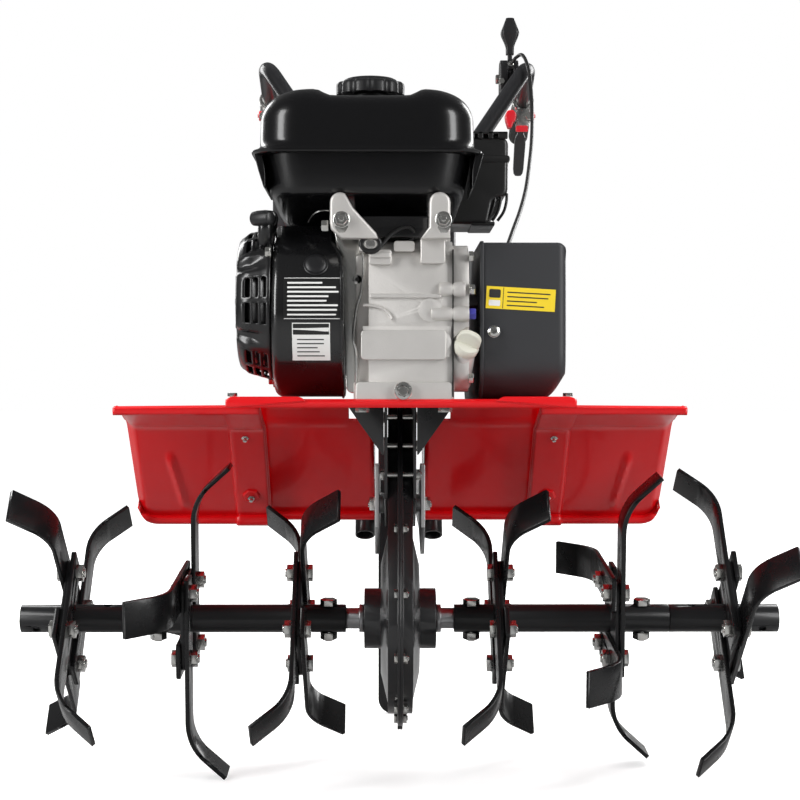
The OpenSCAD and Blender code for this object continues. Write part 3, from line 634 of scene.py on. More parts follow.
def wing_walk(x):
    line = wing_line(abs(x))
    made = []
    for a, b in zip(line, line[1:]):
        a, b = Vector(a), Vector(b)
        count = 20 if (b - a).length > 60 else 1
        made += [a.lerp(b, i / count) for i in range(count)]
    return made + [Vector(line[-1])]


def wing_lift(x, p):
    """A bead down the wing's slope and a raised outer edge."""
    x = abs(x)
    height = 0.0
    if BEAD_START < p.x < BEAD_END:
        ends = min(1, (p.x - BEAD_START) / 5, (BEAD_END - p.x) / 5)
        middle = 276 - 12 * (p.x - BEAD_START) / (BEAD_END - BEAD_START)
        height += bead(x - middle, 6, -4 * ends)
    return height + 7 * eased(x, WING_OUT - 10, WING_OUT) * eased(p.x, -46, -20)


def make_wing(side, name, node):
    columns = [side * (WING_IN + (WING_OUT - WING_IN) * i / 54) for i in range(55)]
    sheet(name, columns, wing_walk, wing_lift, lambda x, y: True, [node])
    columns = [side * x for x in (160, 163, 170, 178, 186, 194, STRIP_OUT - 1.5, STRIP_OUT)]
    sheet(name + "_strip", columns, wing_walk,
          lambda x, p: -3.4 + 1.4 * (abs(x) > STRIP_OUT - 1), lambda x, y: y > -38, [])


def make_fender_bolts():
    """Screws through the joint between deck and wings, on the side that faces the ground."""
    slope = Vector((0, -0.76, -0.65))
    pads, screws = Shape(), Shape()
    for side in (-1, 1):
        pad = Vector((side * 181, 133.5, 137))
        pads.hexagon(pad, pad + slope * 7.6, 19, 0.2)
        for x, y, z, out in ((181, 131, 134.7, slope), (183, 62, 211, Vector((0, -0.6, -0.8)))):
            place = Vector((side * x, y, z)) + out * 3.4
            screws.lathe([(-3, 6.6), (-0.4, 6.6), (0.2, 6), (0.3, 0.1)], place, out, 24)
            screws.hexagon(place, place + out * 4.2, 8)
            screws.cyl(place, place + out * 8, 2.4, 16)
    piece("fender_pads", pads, "fender_red", angle=35)
    piece("fender_screws", screws, "zinc", angle=30)


make_deck()
make_wing(-1, "fender_left_sheet", "fender_left")
make_wing(1, "fender_right_sheet", "fender_right")
make_fender_bolts()

# ---------------------------------------------------------------- fuel tank

tank_x0, tank_x1 = span("fuel_tank", 0)
CAP_X, CAP_Y = -33, -100
TANK_X = (-149.5, 77.5)
TANK_Y = (-196, 0)
SEAM_Z = 511
SHOULDER = 36


def tank_ring(z, side, front, back=None, r=44, lift=None):
    """The tank's outline from above at a height, drawn in from its sides, front and back."""
    back = front if back is None else back
    ring = round_rect(TANK_X[0] + side, TANK_X[1] - side, TANK_Y[0] + front, TANK_Y[1] - back,
                      max(6, r), 8)
    made = []
    corner_points, edge_steps = 9, 18
    for i, point in enumerate(ring):
        made.append(point)
        if (i + 1) % corner_points == 0:
            a, b = Vector(point), Vector(ring[(i + 1) % len(ring)])
            made += [tuple(a.lerp(b, k / edge_steps)) for k in range(1, edge_steps)]
    return [(x, y, z + (lift(x, y) if lift else 0)) for x, y in made]


def make_tank():
    """A pressed tank: an upper half with round shoulders and a dip round the cap, the flange
    where the halves meet, and a lower half that folds under at its front."""
    upper = Shape()
    top = 578.5
    rings = [tank_ring(SEAM_Z + rise, side, front, r=r) for rise, side, front, r in (
        (-3, -6, -3, 30), (-2, -7.4, -4.4, 31), (0, -7.8, -4.8, 31), (1.5, -6.5, -3.8, 32),
        (3.5, -2.6, -1.6, 36), (7, -0.4, -0.2, 44), (14, 0, 0, 44), (26, 0.4, 0.4, 44))]

    def dip(x, y):
        low = 1 - eased(abs(x - CAP_X), 40, 58)
        return -7 * low * (1 - eased(y, -60, -20)) - 1.2 * eased(abs(x + 36), 70, 100)

    for k in range(1, 13):
        t = radians(90 * k / 12)
        z = top - SHOULDER + SHOULDER * sin(t)
        inset = 0.4 + SHOULDER * (1 - cos(t))
        share = sin(t) ** 3
        rings.append(tank_ring(z, inset, inset * 0.82, r=44 - inset * 0.6,
                               lift=lambda x, y: dip(x, y) * share))
    for inset in (44, 54, 64, 76, 90):
        rings.append(tank_ring(top + 0.6, inset, inset * 0.82, r=20 - inset * 0.1, lift=dip))
    upper.rings(rings)
    upper.lathe([(-4, 33), (2.6, 33), (4.2, 31.4), (4.6, 28), (4.6, 24)],
                (CAP_X, CAP_Y, top - 6.5), "z", 64)
    piece("fuel_tank_upper", upper, "tank_black", angle=60, replaces=["fuel_tank"])
    lower = Shape()
    levels = ((SEAM_Z - 2, 4, 4, 40), (500, 4.6, 5, 42), (486, 7, 7, 42), (474, 9.6, 9, 41),
              (468.5, 11, 10.4, 40), (466, 11.8, 12.6, 40), (463.5, 12.8, 19, 39),
              (458, 15, 36, 37), (451, 18, 60, 34), (446, 22, 80, 30), (442.5, 28, 94, 26),
              (441, 34, 102, 22))
    lower.rings([tank_ring(z, side, front, 6, r) for z, side, front, r in levels])
    piece("fuel_tank_lower", lower, "tank_black")
    ears = Shape()
    for side, x in ((-1, tank_x0 - 1), (1, tank_x1 + 1)):
        inner = rounded([(x - side * 0.5, 509.5), (x - side * 9, 509), (x - side * 12.5, 492),
                         (x - side * 12.8, 474), (x - side * 11, 473.5), (x - side * 5.5, 491)], 2)
        ears.prism(inner, "y", TANK_Y[0] + 16, TANK_Y[1] - 60, 0.8)
    piece("fuel_tank_ears", ears, "tank_black")


def make_fuel_cap():
    base_z = span("fuel_cap", 2)[1] - 19
    shape = Shape()
    lobes, count = 12, 144
    rings = []
    for z, r, deep in ((-12, 21, 0), (0.5, 21, 0), (-1.4, 36, 0.6), (-0.4, 37.6, 1.6),
                       (8.5, 38, 2.4), (11.4, 37.2, 2.4), (13, 35.2, 2), (13.6, 32.4, 1),
                       (13.8, 29.6, 0), (16, 28.6, 0), (17, 26.6, 0), (17.2, 22, 0),
                       (16.6, 12, 0), (16.4, 1, 0)):
        ring = []
        for k in range(count):
            a = 2 * pi * k / count
            dip = deep * (0.5 + 0.5 * cos(lobes * a)) ** 3
            ring.append((CAP_X + (r - dip) * cos(a), CAP_Y + (r - dip) * sin(a),
                         base_z + z))
        rings.append(ring)
    shape.rings(rings)
    piece("fuel_cap_moulding", shape, "lever_plastic", "filler_cap", ["fuel_cap"], angle=50)


make_tank()
make_fuel_cap()

# ---------------------------------------------------------------- engine

crank_low, crank_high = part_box("flywheel")
CRANK = (crank_low + crank_high) / 2 - AXLE
CRANK_Y, CRANK_Z = CRANK.y / MM, CRANK.z / MM
BASE_Z = span("crankcase", 2)[0]


def round_slot(length, width, n=6):
    """The outline of a slot, long along its second axis."""
    r = width / 2
    return arc(0, length / 2 - r, r, 0, 180, n) + arc(0, -length / 2 + r, r, 180, 360, n)


def make_recoil_cover():
    """The starter's cover, a short cone: six groups of slots round its rim with a dent between
    each, and ribs on its face."""
    x0, x1 = span("recoil_cover", 0)
    groups, count = 6, 360
    mid_z = CRANK_Z - 2
    step = 2 * pi / groups
    pitch, half = 8.6, 2.8
    slot_middle, slot_half = 0.167, 0.133
    rows = [(x1, 82.4), (x1 - 2.5, 82.2)]
    for k in range(3):
        middle = x1 - 7 - pitch * k
        rows += [(middle + half, 81.6 - 2.4 * k), (middle - half, 79.8 - 2.4 * k)]
    rows += [(x0 + 6, 72), (x0 + 3, 70), (x0 + 1, 67.6), (x0, 64)]
    shape = Shape()
    made = []
    for i, (x, r) in enumerate(rows):
        ring = []
        for k in range(count):
            a = 2 * pi * k / count
            phase = (a / step + 0.5) % 1
            off = min(phase, 1 - phase)
            dent = 6 * (1 - eased(off, 0.03, 0.13)) * eased(x1 - x, 2, 24)
            place = x
            if 2 <= i <= 7:
                edge = slot_half - abs(abs(phase - 0.5) - slot_middle)
                share = sqrt(max(0, 1 - (1 - min(1, max(0, edge / 0.035))) ** 2))
                middle = (rows[i - i % 2][0] + rows[i - i % 2 + 1][0]) / 2
                place = middle + (x - middle) * (share if edge > 0 else 1)
            q = r - dent
            ring.append(shape.bm.verts.new((place, CRANK_Y + q * cos(a),
                                            mid_z + q * sin(a))))
        made.append(ring)
    for i in range(len(rows) - 1):
        for k in range(count):
            m = (k + 1) % count
            phase = ((k + 0.5) / count * groups + 0.5) % 1
            if i in (2, 4, 6) and abs(abs(phase - 0.5) - slot_middle) < slot_half:
                continue
            shape.bm.faces.new((made[i][k], made[i][m], made[i + 1][m], made[i + 1][k]))
    piece("recoil_cover_rim", shape, "recoil_black", replaces=["recoil_cover"], solid=2.0)
    face = Shape()
    face.lathe([(0, 64.5), (-1.5, 62), (-3.2, 56), (-4, 40), (-4, 24), (-5.5, 22), (-6, 1)],
               (x0 + 2.5, CRANK_Y, mid_z), "x", 96)
    face.lathe([(30, 77), (28, 76), (4, 68), (2, 60)], (x0 + 4, CRANK_Y, mid_z), "x", 96)
    for k in range(groups * 2):
        outline = [(p[0], p[1] + 42) for p in round_slot(22, 7)]
        rib = Shape().prism(outline, "x", x0 - 2.4, x0 + 1, 0.8)
        rib.turned(Matrix.Translation((0, CRANK_Y, mid_z))
                   @ Matrix.Rotation(step / 2 * k, 4, "X"))
        merge(face, rib)
    piece("recoil_cover_face", face, "recoil_black")
    screws, screw_circle = Shape(), 83
    for k in range(3):
        a = radians(142 + 120 * k)
        y, z = CRANK_Y + screw_circle * cos(a), mid_z + screw_circle * sin(a)
        screws.hexagon((x1 - 1, y, z), (x1 - 6, y, z), 10)
        screws.cyl((x1 + 0.4, y, z), (x1 - 1, y, z), 8, 24)
    piece("recoil_screws", screws, "zinc", angle=30)


SHROUD_Y, SHROUD_Z, SHROUD_R = CRANK_Y + 4, CRANK_Z - 10, 92.5


def shroud_front(z):
    """Where the blower shroud's round front stands at a height."""
    return SHROUD_Y - sqrt(SHROUD_R ** 2 - (z - SHROUD_Z) ** 2)


def shroud_outline(d):
    """The blower shroud's side outline as (y, z), shrunk by d."""
    points = arc(SHROUD_Y, SHROUD_Z, SHROUD_R, 130, 292, 40)
    points += [(30, 296), (62, 330), (62, 420), (40, 436), (-130, 438)]
    return shrunk(points, d)


def make_shroud():
    x0, x1 = span("blower_shroud", 0)
    shape = Shape().prism(shroud_outline(0), "x", x0, x1, 9, 6, 1.5)
    shape.prism(shroud_outline(-1.8), "x", x1 - 3.6, x1 - 1.2, 1.0, 2)
    for v in shape.bm.verts:
        if v.co.x > x1 - 12 and v.co.y < -60:
            v.co.x -= 13 * eased(v.co.z, 398, 424)
    piece("blower_shroud_shell", shape, "shroud_black", replaces=["blower_shroud"])
    plug_z = 392
    rise = plug_z - SHROUD_Z
    out = Vector((0, -sqrt(SHROUD_R ** 2 - rise ** 2), rise)).normalized()
    plug = Shape().lathe([(-4, 13), (0.4, 13), (1.0, 12.2), (1.0, 11.4), (2.8, 11), (4, 9.6),
                          (4.6, 6), (4.7, 0.1)], (-89, shroud_front(plug_z), plug_z), out, 40)
    piece("shroud_plug", plug, "lever_plastic", angle=35)
    plate = Shape()
    outline = rounded([(-58, 258), (-40, 258), (-41, 300), (-46, 318), (-42, 350), (-35, 372),
                       (-34, 400), (-38, 424), (-52, 432), (-72, 432), (-62, 400)], 9, 5)
    plate.prism(outline, "y", -166, -162, 0.8)
    fold = [(-47, -172, 262), (-47, -176, 300), (-50, -178, 316), (-47, -178, 345),
            (-41, -176, 368), (-39, -174, 395), (-42, -170, 416)]
    plate.sweep(smooth_path(fold, 6), 1.8, 10)
    plate.cyl((-46, -168, 378), (-46, -164, 378), 5.2, 24)
    piece("shroud_back_plate", plate, "zinc", angle=35)
    # A black disc stands proud of the boss in place of a hole: painted shade for a hole's dark
    # inside, not an opening.
    hole_shade = Shape().cyl((-46, -168.6, 378), (-46, -164, 378), 2.4, 20, 0.2)
    piece("back_plate_hole_shade", hole_shade, "cover_black", material="label_black", angle=35)


def label(name, box, tilt, backing, front, patches):
    """A printed label of thin slices that follow front, a function from height to depth. box is
    x0, x1, z0, z1. Each patch is a finish with an outline, or with x0, x1, z0, z1 and a radius,
    in the label's own plane from its lower left corner."""
    x0, x1, z0, z1 = box
    turn = Matrix.Translation((x0, 0, z0)) @ Matrix.Rotation(radians(tilt), 4, "Y")

    def lay(suffix, shape, material):
        shape.turned(turn)
        for v in shape.bm.verts:
            v.co.y += front(v.co.z)
        piece(name + suffix, shape, "cover_black", material=material)

    card = Shape()
    slices = max(1, round((z1 - z0) / 3))
    for k in range(slices):
        low, high = (z1 - z0) * k / slices, (z1 - z0) * (k + 1) / slices
        card.prism(round_rect(0, x1 - x0, low, high, 0.05, 1), "y", 1, -0.35)
    lay("_card", card, backing)
    for material in sorted({p[0] for p in patches}):
        ink = Shape()
        for row in patches:
            if row[0] == material:
                outline = row[1] if len(row) == 2 else round_rect(*row[1:6], 2)
                ink.prism(outline, "y", 0, -0.5)
        lay(f"_{material}", ink, material)


def bars(material, x0, x1, z_top, rows, height, pitch, seed=3):
    """Rows of plain bars of uneven length, standing for print without saying anything."""
    made = []
    for i in range(rows):
        share = 0.62 + 0.38 * abs(sin(seed + i * 2.3))
        z = z_top - i * pitch
        made.append((material, x0, x0 + (x1 - x0) * share, z - height, z, height * 0.3))
    return made


def make_labels():
    border = [("label_white", *box, 0.2) for box in (
        (0.9, 60.9, 0.9, 1.5), (0.9, 60.9, 43.3, 43.9), (0.9, 1.5, 0.9, 43.9),
        (60.3, 60.9, 0.9, 43.9))]
    label("shroud_label", (-122.3, -60.6, 334, 378.5), 0, "label_black", shroud_front,
          border + bars("label_white", 4, 58, 39.5, 7, 1.9, 4.7)
          + bars("label_white", 4, 58, 6.2, 1, 1.6, 4, 1))
    label("care_label", (-113.4, -74, 292.4, 331), 0, "label_white", shroud_front,
          [("label_black", 1, 38.4, 26.4, 37.6, 0.6)]
          + bars("label_ink", 5, 34, 22, 5, 1.2, 4.2, 2))
    cover_front = span("belt_cover", 1)[0] - 0.4
    label("cover_label", (88.7, 161.5, 347.6, 371), 3.2, "label_yellow", lambda z: cover_front,
          [("label_ink", 17.6, 18.2, 0.6, 22.8, 0.2), ("label_white", 3, 15, 3, 9, 0.8),
           ("label_ink", 3, 15, 11.5, 20.5, 1.5)]
          + bars("label_ink", 22, 68, 18.6, 4, 1.3, 4.6, 5))


def make_belt_cover():
    x0, x1 = 84, 174
    y0, y1 = span("belt_cover", 1)
    z0, z1 = 252, 417
    side = rounded([(y0, z1), (y0, z0 + 28), (y0 + 30, z0), (y1, z0), (y1, z1)],
                   [5, 40, 20, 30, 22], 8)
    shell = Shape().prism(side, "x", x1, x0, 9, 6, 1.2)
    for v in shell.bm.verts:
        low = max(0, z0 + 27 - v.co.z)
        if v.co.x > x1 - 30:
            v.co.x -= low * 0.52 * min(1, (v.co.x - x1 + 30) / 20)
    shell.prism(shrunk(side, -1.6), "x", x0 + 3, x0 - 1, 1.0, 2)
    panel = rounded([(y0 + 26, z1 - 22), (y0 + 26, z0 + 42), (y0 + 60, z0 + 30), (y1 - 20, z0 + 30),
                     (y1 - 20, z1 - 22)], 16, 5)
    shell.prism(panel, "x", x1 - 2, x1 + 2, 1.4, 3)
    shell.cyl((126, 100, z1 - 2), (126, 100, z1 + 4), 8)
    shell.prism(round_rect(x0 - 1, x0 + 8, -3, 12, 2), "z", z1 - 1, z1 + 2.6, 0.8)
    piece("belt_cover_shell", shell, "cover_black", replaces=["belt_cover"], angle=45)
    screw = Shape()
    head = (97.5, y0 - 0.2, 323)
    screw.lathe([(0.5, 6.4), (-0.8, 6.4), (-1.2, 5.8), (-3.4, 5.2), (-4.4, 3.6), (-4.5, 2.2),
                 (-3.2, 1.8), (-3.1, 0.1)], head, "y", 32)
    for a in (0, 90):
        bar = Shape().prism(round_rect(-2.6, 2.6, -0.5, 0.5, 0.2, 2), "y", -4.7, -4.2)
        bar.turned(Matrix.Translation(head) @ Matrix.Rotation(radians(a + 20), 4, "Y"))
        merge(screw, bar)
    piece("belt_cover_screw", screw, "zinc", angle=30)


def make_casting():
    """The bosses, ribs, pads and flanges on the crankcase, with the nuts and the lead on them."""
    front, upper_z, lower_z = -184, 366.5, 341
    c = Shape()
    for outline, back, ahead, ease in (
            (rounded([(-42, 293), (47, 293), (47, 324), (-42, 324)], 5, 5), 3, -4.8, 1.0),
            (rounded([(-33, 357.5), (42, 357.5), (42, 362), (-33, 362)], 1.8), 4, -2.2, 1.2)):
        c.prism(outline, "y", front + back, front + ahead, ease)
    for x0, x1, z, r in ((40, 54, upper_z, 7.5), (31, 54, lower_z, 7.5), (54, 67, upper_z, 8.2),
                         (54, 71, lower_z, 8.2)):
        c.cyl((x0, front + 2, z), (x1, front + 2, z), r, 32, 1.5)
    ridge = [(-36 + 26 * cos(radians(a)), front - 0.6, 332 + 18 * sin(radians(a)))
             for a in range(98, 9, -8)]
    c.sweep([(-38, front - 0.6, 350)] + ridge, 1.7, 10)
    for box, back, ahead, ease in (
            ((-34, -10, 392, 408, 3), 6, -4, 1.2), ((-33, -11, 399, 405, 2), 0, -7, 1.5),
            ((20, 46, 393, 420, 2.5), 8, -6, 1.4), ((-8, 14, 406, 417, 3), 8, -1.5, 1.2),
            ((-48, 54, BASE_Z, BASE_Z + 19, [2, 2, 5, 5]), -2, 60, 1.6)):
        c.prism(round_rect(*box), "y", front + back, front + ahead, ease)
    for x in (-41, 47):
        c.prism(round_rect(x - 9, x + 9, -176, -132, 8), "z", BASE_Z, BASE_Z + 18.5, 1.5)
    c.cyl((66, -176, 304), (62, -150, 268), 12, 32, 1)
    c.prism(round_rect(-48, -30, 262, 404, 4), "y", -168, -60, 2)
    seam = [(53.3, BASE_Z + 3), (54.7, BASE_Z + 3), (54.7, 408), (53.3, 408)]
    piece("case_gasket", Shape().prism(seam, "y", front - 2.6, front + 30), "cable_black",
          angle=32)
    shield = Shape().prism(round_rect(-50, 30, 421, 444, 3), "y", -178, -100, 2)
    piece("cylinder_shield", shield, "shroud_black")
    piece("crankcase_bosses", c, "cast_aluminium", angle=36)
    b = Shape()
    for x in (-40, 47):
        b.hexagon((x, -158, BASE_Z + 19), (x, -158, BASE_Z + 28), 13)
        b.lathe([(0, 10.5), (1.6, 10.5), (2, 9.8), (2.2, 0.1)], (x, -158, BASE_Z + 17.4), "z", 32)
        b.cyl((x, -158, BASE_Z + 25), (x, -158, BASE_Z + 32), 3.9, 20)
    drain, drain_head = (2, front - 3, 260.5), (2, front - 9, 260.5)
    b.lathe([(3, 9.6), (0.2, 9.6), (-0.4, 9), (-0.6, 8)], drain, "y", 40)
    b.hexagon(drain, drain_head, 13, 0.3)
    b.lathe([(0, 5.4), (-0.8, 4.6), (-1, 0.1)], drain_head, "y", 30)
    for z in (402, 274):
        b.hexagon((71, front + 10, z), (76, front + 10, z), 10)
    b.cyl((71, front + 2, upper_z), (73, front + 2, upper_z), 6, 24)
    b.hexagon((73, front + 2, upper_z), (77, front + 2, upper_z), 10)
    piece("engine_nuts", b, "zinc", angle=30)
    lock = Shape().hexagon((71, front + 2, lower_z), (78, front + 2, lower_z), 11)
    piece("cover_bolt", lock, "zinc", material="blue_lock", angle=30)
    clamp = Shape()
    loop = [(-32 + 9.5 * cos(a / 8 * pi), front - 8, 413 + 7.5 * sin(a / 8 * pi))
            for a in range(17)]
    clamp.sweep(loop, 3.2, 12)
    lead = [(-24, -188, 408), (-10, -184, 424), (6, -180, 432), (14, -176, 426), (10, -172, 418)]
    clamp.sweep(smooth_path(lead, 6), 2.0, 10)
    piece("lead_clamp", clamp, "cable_black", angle=60)
    loose = Shape()
    loose.cyl((-32, front - 4, 413), (-32, front - 13, 413), 5, 20)
    bow = [(-98, -160, 439), (-92, -172, 446), (-84, -178, 449), (-72, -176, 449), (-62, -168, 446)]
    loose.sweep(smooth_path(bow, 6), 1.0, 8)
    piece("lead_clamp_screw", loose, "zinc")


def make_stays():
    """The two cast stays that carry the tank. Each has a round top, a nut and a foot."""
    shape = Shape()
    y0, y1 = -202, -186
    left = rounded([(-74, 435), (-74, 455)], 0) + arc(-63.5, 455.5, 10.5, 180, 60, 8) + [
        (-50, 450), (-26, 424), (-24, 418), (-62, 418)] + [(-73, 428)]
    shape.prism(left, "y", y0, y1, 3.0, 4)
    right = [(28.5, 430)] + arc(39.8, 455.5, 11, 180, 0, 8) + [(50.8, 440), (50.5, 418), (20, 418)]
    shape.prism(right, "y", y0, y1, 3.0, 4)
    shape.prism(round_rect(-44, -22, 405, 420, 3), "y", y0 + 8, -172, 1.4)
    piece("tank_stay_castings", shape, "cast_aluminium", replaces=["tank_stays"])
    nuts, nut_z = Shape(), 437.5
    for x in (-62, 43.5):
        nuts.lathe([(1.5, 8.6), (-0.6, 8.6), (-1, 8), (-1.2, 0.1)], (x, y0, nut_z), "y", 30)
        nuts.hexagon((x, y0 - 0.8, nut_z), (x, y0 - 7, nut_z), 12, 0.2)
        nuts.cyl((x, y0, nut_z), (x, y0 - 11, nut_z), 3, 20)
    nuts.hexagon((-76, -190, 432), (-83, -190, 432), 11)
    piece("tank_stay_nuts", nuts, "zinc", angle=30)


def make_dipstick():
    shape = Shape()
    aside, lean = radians(25), radians(50)
    line = Vector((sin(aside) * sin(lean), -cos(aside) * sin(lean),
                   cos(lean)))
    foot = Vector((66, -176, 304))
    shape.lathe([(-13, 8), (-1, 8.6), (0, 13.2), (1, 14), (7, 14), (9.5, 13), (10.5, 10.5),
                 (10.8, 0.1)], foot, line, 48)
    tab = rounded([(-13.5, 0), (13.5, 0), (12, 12), (6, 17), (-6, 17), (-12, 12)], 4, 5)
    grip = Shape().prism(tab, "y", -3.2, 3.2, 1.6)
    turn = Matrix.Rotation(aside, 4, "Z") @ Matrix.Rotation(lean, 4, "X")
    grip.turned(Matrix.Translation(foot + line * 9) @ turn
                @ Matrix.Rotation(radians(-32), 4, "Z"))
    merge(shape, grip)
    piece("dipstick_cap", shape, "cream_plastic", "oil_dipstick", ["dipstick"], angle=42)


make_shroud()
make_recoil_cover()
make_belt_cover()
make_casting()
make_stays()
make_dipstick()
make_labels()

# ---------------------------------------------------------------- handlebar

BAR = [(68, 405, 392), (72, 510, 562), (200, 640, 762), (205, 915, 695)]
BAR_R = 12


def make_bars():
    for side, name, node in ((-1, "left", "handlebar_left"), (1, "right", "handlebar_right")):
        path = bent_path([(side * x, y, z) for x, y, z in BAR], 46, 10)
        shape = Shape().sweep(path, BAR_R, 28)
        hinge_y, hinge_z = 400, 383
        plate = arc(hinge_y, hinge_z, 19, 200, 380, 12) + [(414, 402), (399, 404)]
        shape.prism(plate, "x", side * 58, side * 64, 1.2)
        if side < 0:
            shape.cyl((-72, hinge_y, hinge_z), (57.5, hinge_y, hinge_z), 7.8)
            shape.hexagon((-64, hinge_y, hinge_z), (-73, hinge_y, hinge_z), 18)
        else:
            shape.hexagon((64, hinge_y, hinge_z), (72, hinge_y, hinge_z), 18)
        piece(f"handlebar_{name}_tube", shape, "tube_black", "handlebar", [node])


def make_grips():
    shape = Shape()
    tip, bend = Vector(BAR[3]), Vector(BAR[2])
    line = (bend - tip).normalized()
    profile = [(-4, 8), (-3.6, 12), (-2, 15), (0, 16), (4, 16)]
    for i in range(16):
        s = 7 + i * 6
        profile += [(s, 15.9), (s + 1, 14.6), (s + 3, 14.6), (s + 4, 15.9)]
    profile += [(104, 16), (107, 17.6), (110, 17.6), (111, 16.4), (111.2, 12.6)]
    for side in (-1, 1):
        start = Vector((side * tip.x, tip.y, tip.z))
        shape.lathe(profile, start, Vector((side * line.x, line.y, line.z)), 40)
    piece("grip_sleeves", shape, "grip_rubber", "handlebar", ["hand_grips"])


def make_cable():
    """The tension cable, along the route that the CAD node has."""
    route = [(174, 647, 764), (182, 640, 773), (190, 626, 773), (197, 610, 752), (200, 592, 715),
             (199, 560, 668), (193, 500, 622), (184, 430, 580), (172, 340, 535), (158, 255, 497),
             (144, 180, 466), (133, 125, 441), (127, 104, 428), (126, 100, 418)]
    line = smooth_path(route, 8)
    cable = piece("clutch_cable_sheath", Shape().sweep(line, 2.7, 14), "cable_black",
                  replaces=["clutch_cable"], ride=False, angle=60)
    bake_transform(cable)
    ends = Shape()
    ends.lathe([(0, 4.2), (12, 4.2), (13, 3.6), (17, 3.4), (17.2, 2.8)], route[-1], (0, 0.12, 1),
               24)
    ends.hexagon((126, 100, 419), (126, 100.6, 424), 12)
    piece("cable_adjuster", ends, "zinc", angle=32)


def section(x0, x1, y0, y1, z, r):
    return [(x, y, z) for x, y in round_rect(x0, x1, y0, y1, r, 5)]


def make_knob():
    """The belt tension lever: a moulded handle on a flat stalk, on a disc between two plates."""
    x, y, z = 174, 672, 745
    knob = Shape()
    stations = ((783, 6, 6.5), (794, 6.2, 6.8), (801, 8.5, 8), (810, 12.6, 10), (815, 14, 11),
                (819, 13.6, 11), (828, 10, 9), (835, 7.4, 7), (838.4, 6.2, 6), (839.2, 4.5, 4.5))
    knob.rings([section(x - w, x + w, y - d, y + d, height, min(w, d) * 0.45)
                for height, w, d in stations])
    knob.prism(round_rect(x - 3.4, x + 3.4, 742, 790, 1), "y", y - 4.5, y + 4.5, 1)
    knob.cyl((x - 3.5, y, z), (x + 3.5, y, z), 16, 40, 0.8)
    piece("tension_knob", knob, "lever_plastic", "tension_lever", ["knob_lever"])
    house = Shape()
    for x0, x1 in ((158, 170), (178, 186)):
        cheek = rounded([(650, 722), (696, 722), (696, 758), (684, 772), (656, 772),
                         (650, 764)], 5)
        house.prism(cheek, "x", x0, x1, 1.5)
    house.prism(round_rect(158, 186, 716, 725, 2), "y", 641, 686, 1)
    house.prism(round_rect(169, 179, 757, 771, 1), "y", 649.6, 654, 0.8)
    piece("knob_case", house, "lever_plastic", "handlebar", ["knob_housing"])
    screw = Shape()
    screw.hexagon((158, y, z), (152, y, z), 13)
    screw.cyl((158.4, y, z), (157, y, z), 9, 28)
    screw.hexagon((160, 651, 738), (160, 645, 738), 9)
    screw.cyl((174, 650, 764), (174, 646, 764.6), 4.4, 20)
    piece("knob_screws", screw, "zinc", "handlebar", angle=30)


def make_controls():
    """The squeeze levers, the red latches and their brackets, one set on each bar."""
    for side, tag in ((-1, "left"), (1, "right")):
        lever, pin_y, pin_z = Shape(), 796, 698
        turn = (Matrix.Translation((201, pin_y, pin_z))
                @ Matrix.Rotation(radians(-45), 4, "X"))
        rings = [section(-w, w, -d + lift, d + lift, along, min(w, d) * 0.8)
                 for along, w, d, lift in (
                     (10, 4.5, 4.6, 0), (20, 5, 4.6, 0), (28, 8.4, 4, -2.5), (40, 9.2, 3.6, -2.5),
                     (90, 8.6, 3.6, -2.5), (99, 7.6, 3.4, -2.5), (103, 5.4, 3, -2.5),
                     (104, 3, 2, -2.5))]
        lever.rings([[(px, pz, py) for px, py, pz in ring] for ring in rings])
        lever.prism(round_rect(-5, 28, -5, 5, 4), "x", -4.5, 4.5, 1)
        lever.turned(turn)
        lever.cyl((190, pin_y, pin_z), (214, pin_y, pin_z), 3)
        latch = Shape()
        hook = rounded([(174, 697), (173, 706), (177, 713), (186, 714), (191, 708), (190, 697),
                        (186, 693), (184, 686), (178, 685), (176, 691)], 2.5)
        latch.prism(hook, "y", 763, 785, 2)
        latch_y, latch_z = 774, 705
        latch.cyl((178, latch_y, latch_z), (222, latch_y, latch_z), 3)
        latch.lathe([(0, 6.5), (1, 8), (5, 8), (6, 6.6), (6, 0.1)], (214, latch_y, latch_z), "x",
                    28)
        clip = Shape().prism(round_rect(190, 210, 679, 689, 3), "y", 765, 771, 1)
        bolt = Shape()
        bolt.hexagon((211, 768, 703), (211, 762, 703), 10)
        bolt.lathe([(0, 8), (-1.4, 8), (-1.5, 0.1)], (211, 766, 703), "y", 24)
        for shape in (lever, latch, clip, bolt):
            if side < 0:
                shape.turned(Matrix.Scale(-1, 4, (1, 0, 0)))
        piece(f"squeeze_{tag}", lever, "lever_plastic", f"{tag}_lever", [f"squeeze_lever_{tag}"])
        piece(f"latch_{tag}_hook", latch, "red_plastic", f"{tag}_latch", [f"latch_{tag}"])
        piece(f"latch_{tag}_clip", clip, "red_plastic", "handlebar")
        piece(f"latch_{tag}_bolt", bolt, "zinc", "handlebar", angle=30)


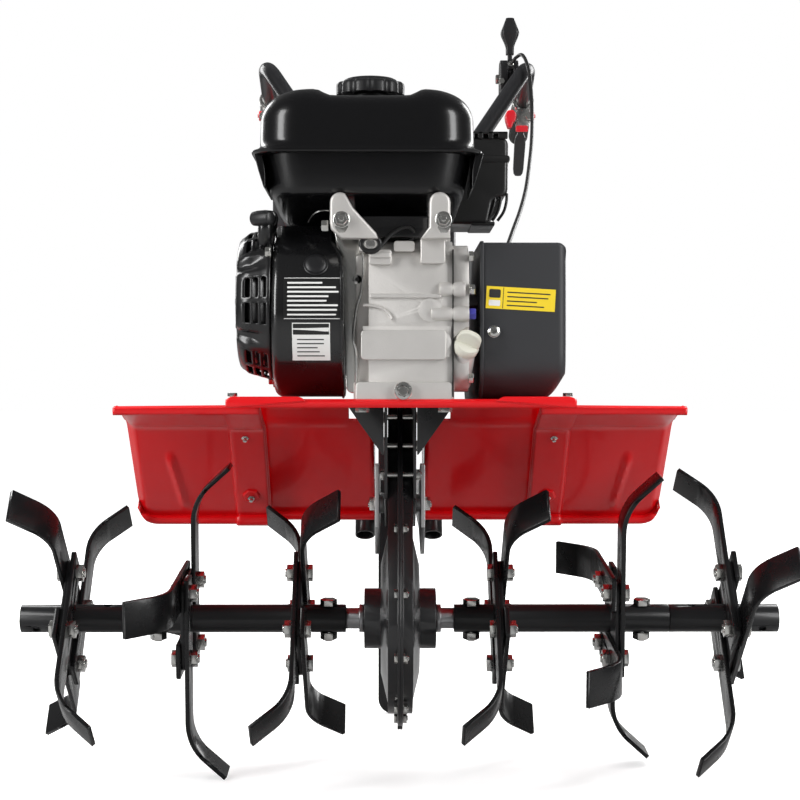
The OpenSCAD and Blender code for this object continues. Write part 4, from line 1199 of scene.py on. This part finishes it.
def make_starter():
    """The starter grip, the guide that its rope leaves by, and the rope between them."""
    seat = Vector((-143, -168, 442))
    pull = Vector((-0.6, -0.8, 0))
    mouth = seat - pull * 9
    grip = Shape()
    grip.lathe([(-13, 0.1), (-13, 5), (-11, 7.4), (-5, 8.2), (5, 8.2), (11, 7.4), (13, 5),
                (13, 0.1)], seat + pull * 5, Vector((0.8, -0.6, 0)), 32)
    grip.lathe([(-7, 0.1), (-7, 5), (-5, 6.2), (3, 6.8)], seat, pull, 24)
    piece("starter_grip_bar", grip, "lever_plastic", "starter_grip", ["recoil_grip"])
    guide = Shape()
    route = [(-144, CRANK_Y - 48, CRANK_Z + 60), (-143, CRANK_Y - 56, CRANK_Z + 78),
             (-140, mouth.y + 12, mouth.z - 8), tuple(mouth)]
    guide.sweep(smooth_path(route, 8), 7.6, 20)
    guide.lathe([(-3, 7.8), (-1, 9.2), (1.2, 9.2), (1.8, 8.4), (1.8, 0.1)], mouth, pull, 28)
    piece("starter_rope_guide", guide, "recoil_black")
    rope = Shape().sweep([tuple(mouth.lerp(seat, i / 24)) for i in range(25)], 1.8, 10)
    rope = piece("starter_rope", rope, "grip_rubber", ride=False, angle=60)
    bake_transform(rope)


make_bars()
make_grips()
make_starter()
make_knob()
make_controls()
make_cable()

# ---------------------------------------------------------------- muffler guard

def make_guard():
    """A pressed guard round the muffler, with a bead, slots along its top and an open rack of
    bars at its lower outer corner."""
    shape = Shape()
    body = rounded([(30, 458), (104, 458), (110, 486), (127, 492), (128, 560), (30, 560)],
                   [10, 5, 4, 8, 10, 10], 6)
    shape.prism(body, "y", 42, 148, 5, 4)
    bead_line = rounded([(30, 532), (128, 532), (128, 537), (30, 537)], 2)
    shape.prism(shrunk(bead_line, -1.6), "y", 41, 149, 1)
    for x0, x1 in ((60, 88), (92, 98), (104, 110), (116, 127)):
        shape.prism(round_rect(x0, x1, 558, 566.5, 1.5), "y", 41, 46, 0.8)
    shape.prism(round_rect(34, 127, 563.6, 566.5, 1), "y", 41, 148, 0.8)
    for k in range(3):
        x = 109 + 7 * k
        bar = [(x + 3, 46, 494), (x + 2.4, 44, 484), (x - 1, 44, 472), (x - 6 - k, 46, 462)]
        shape.sweep(smooth_path(bar, 5), 1.8, 10)
    shape.prism(round_rect(84, 112, 456.5, 461, 1.5), "y", 44, 140, 0.8)
    piece("muffler_guard_shell", shape, "guard_black", replaces=["muffler_guard"])


make_guard()
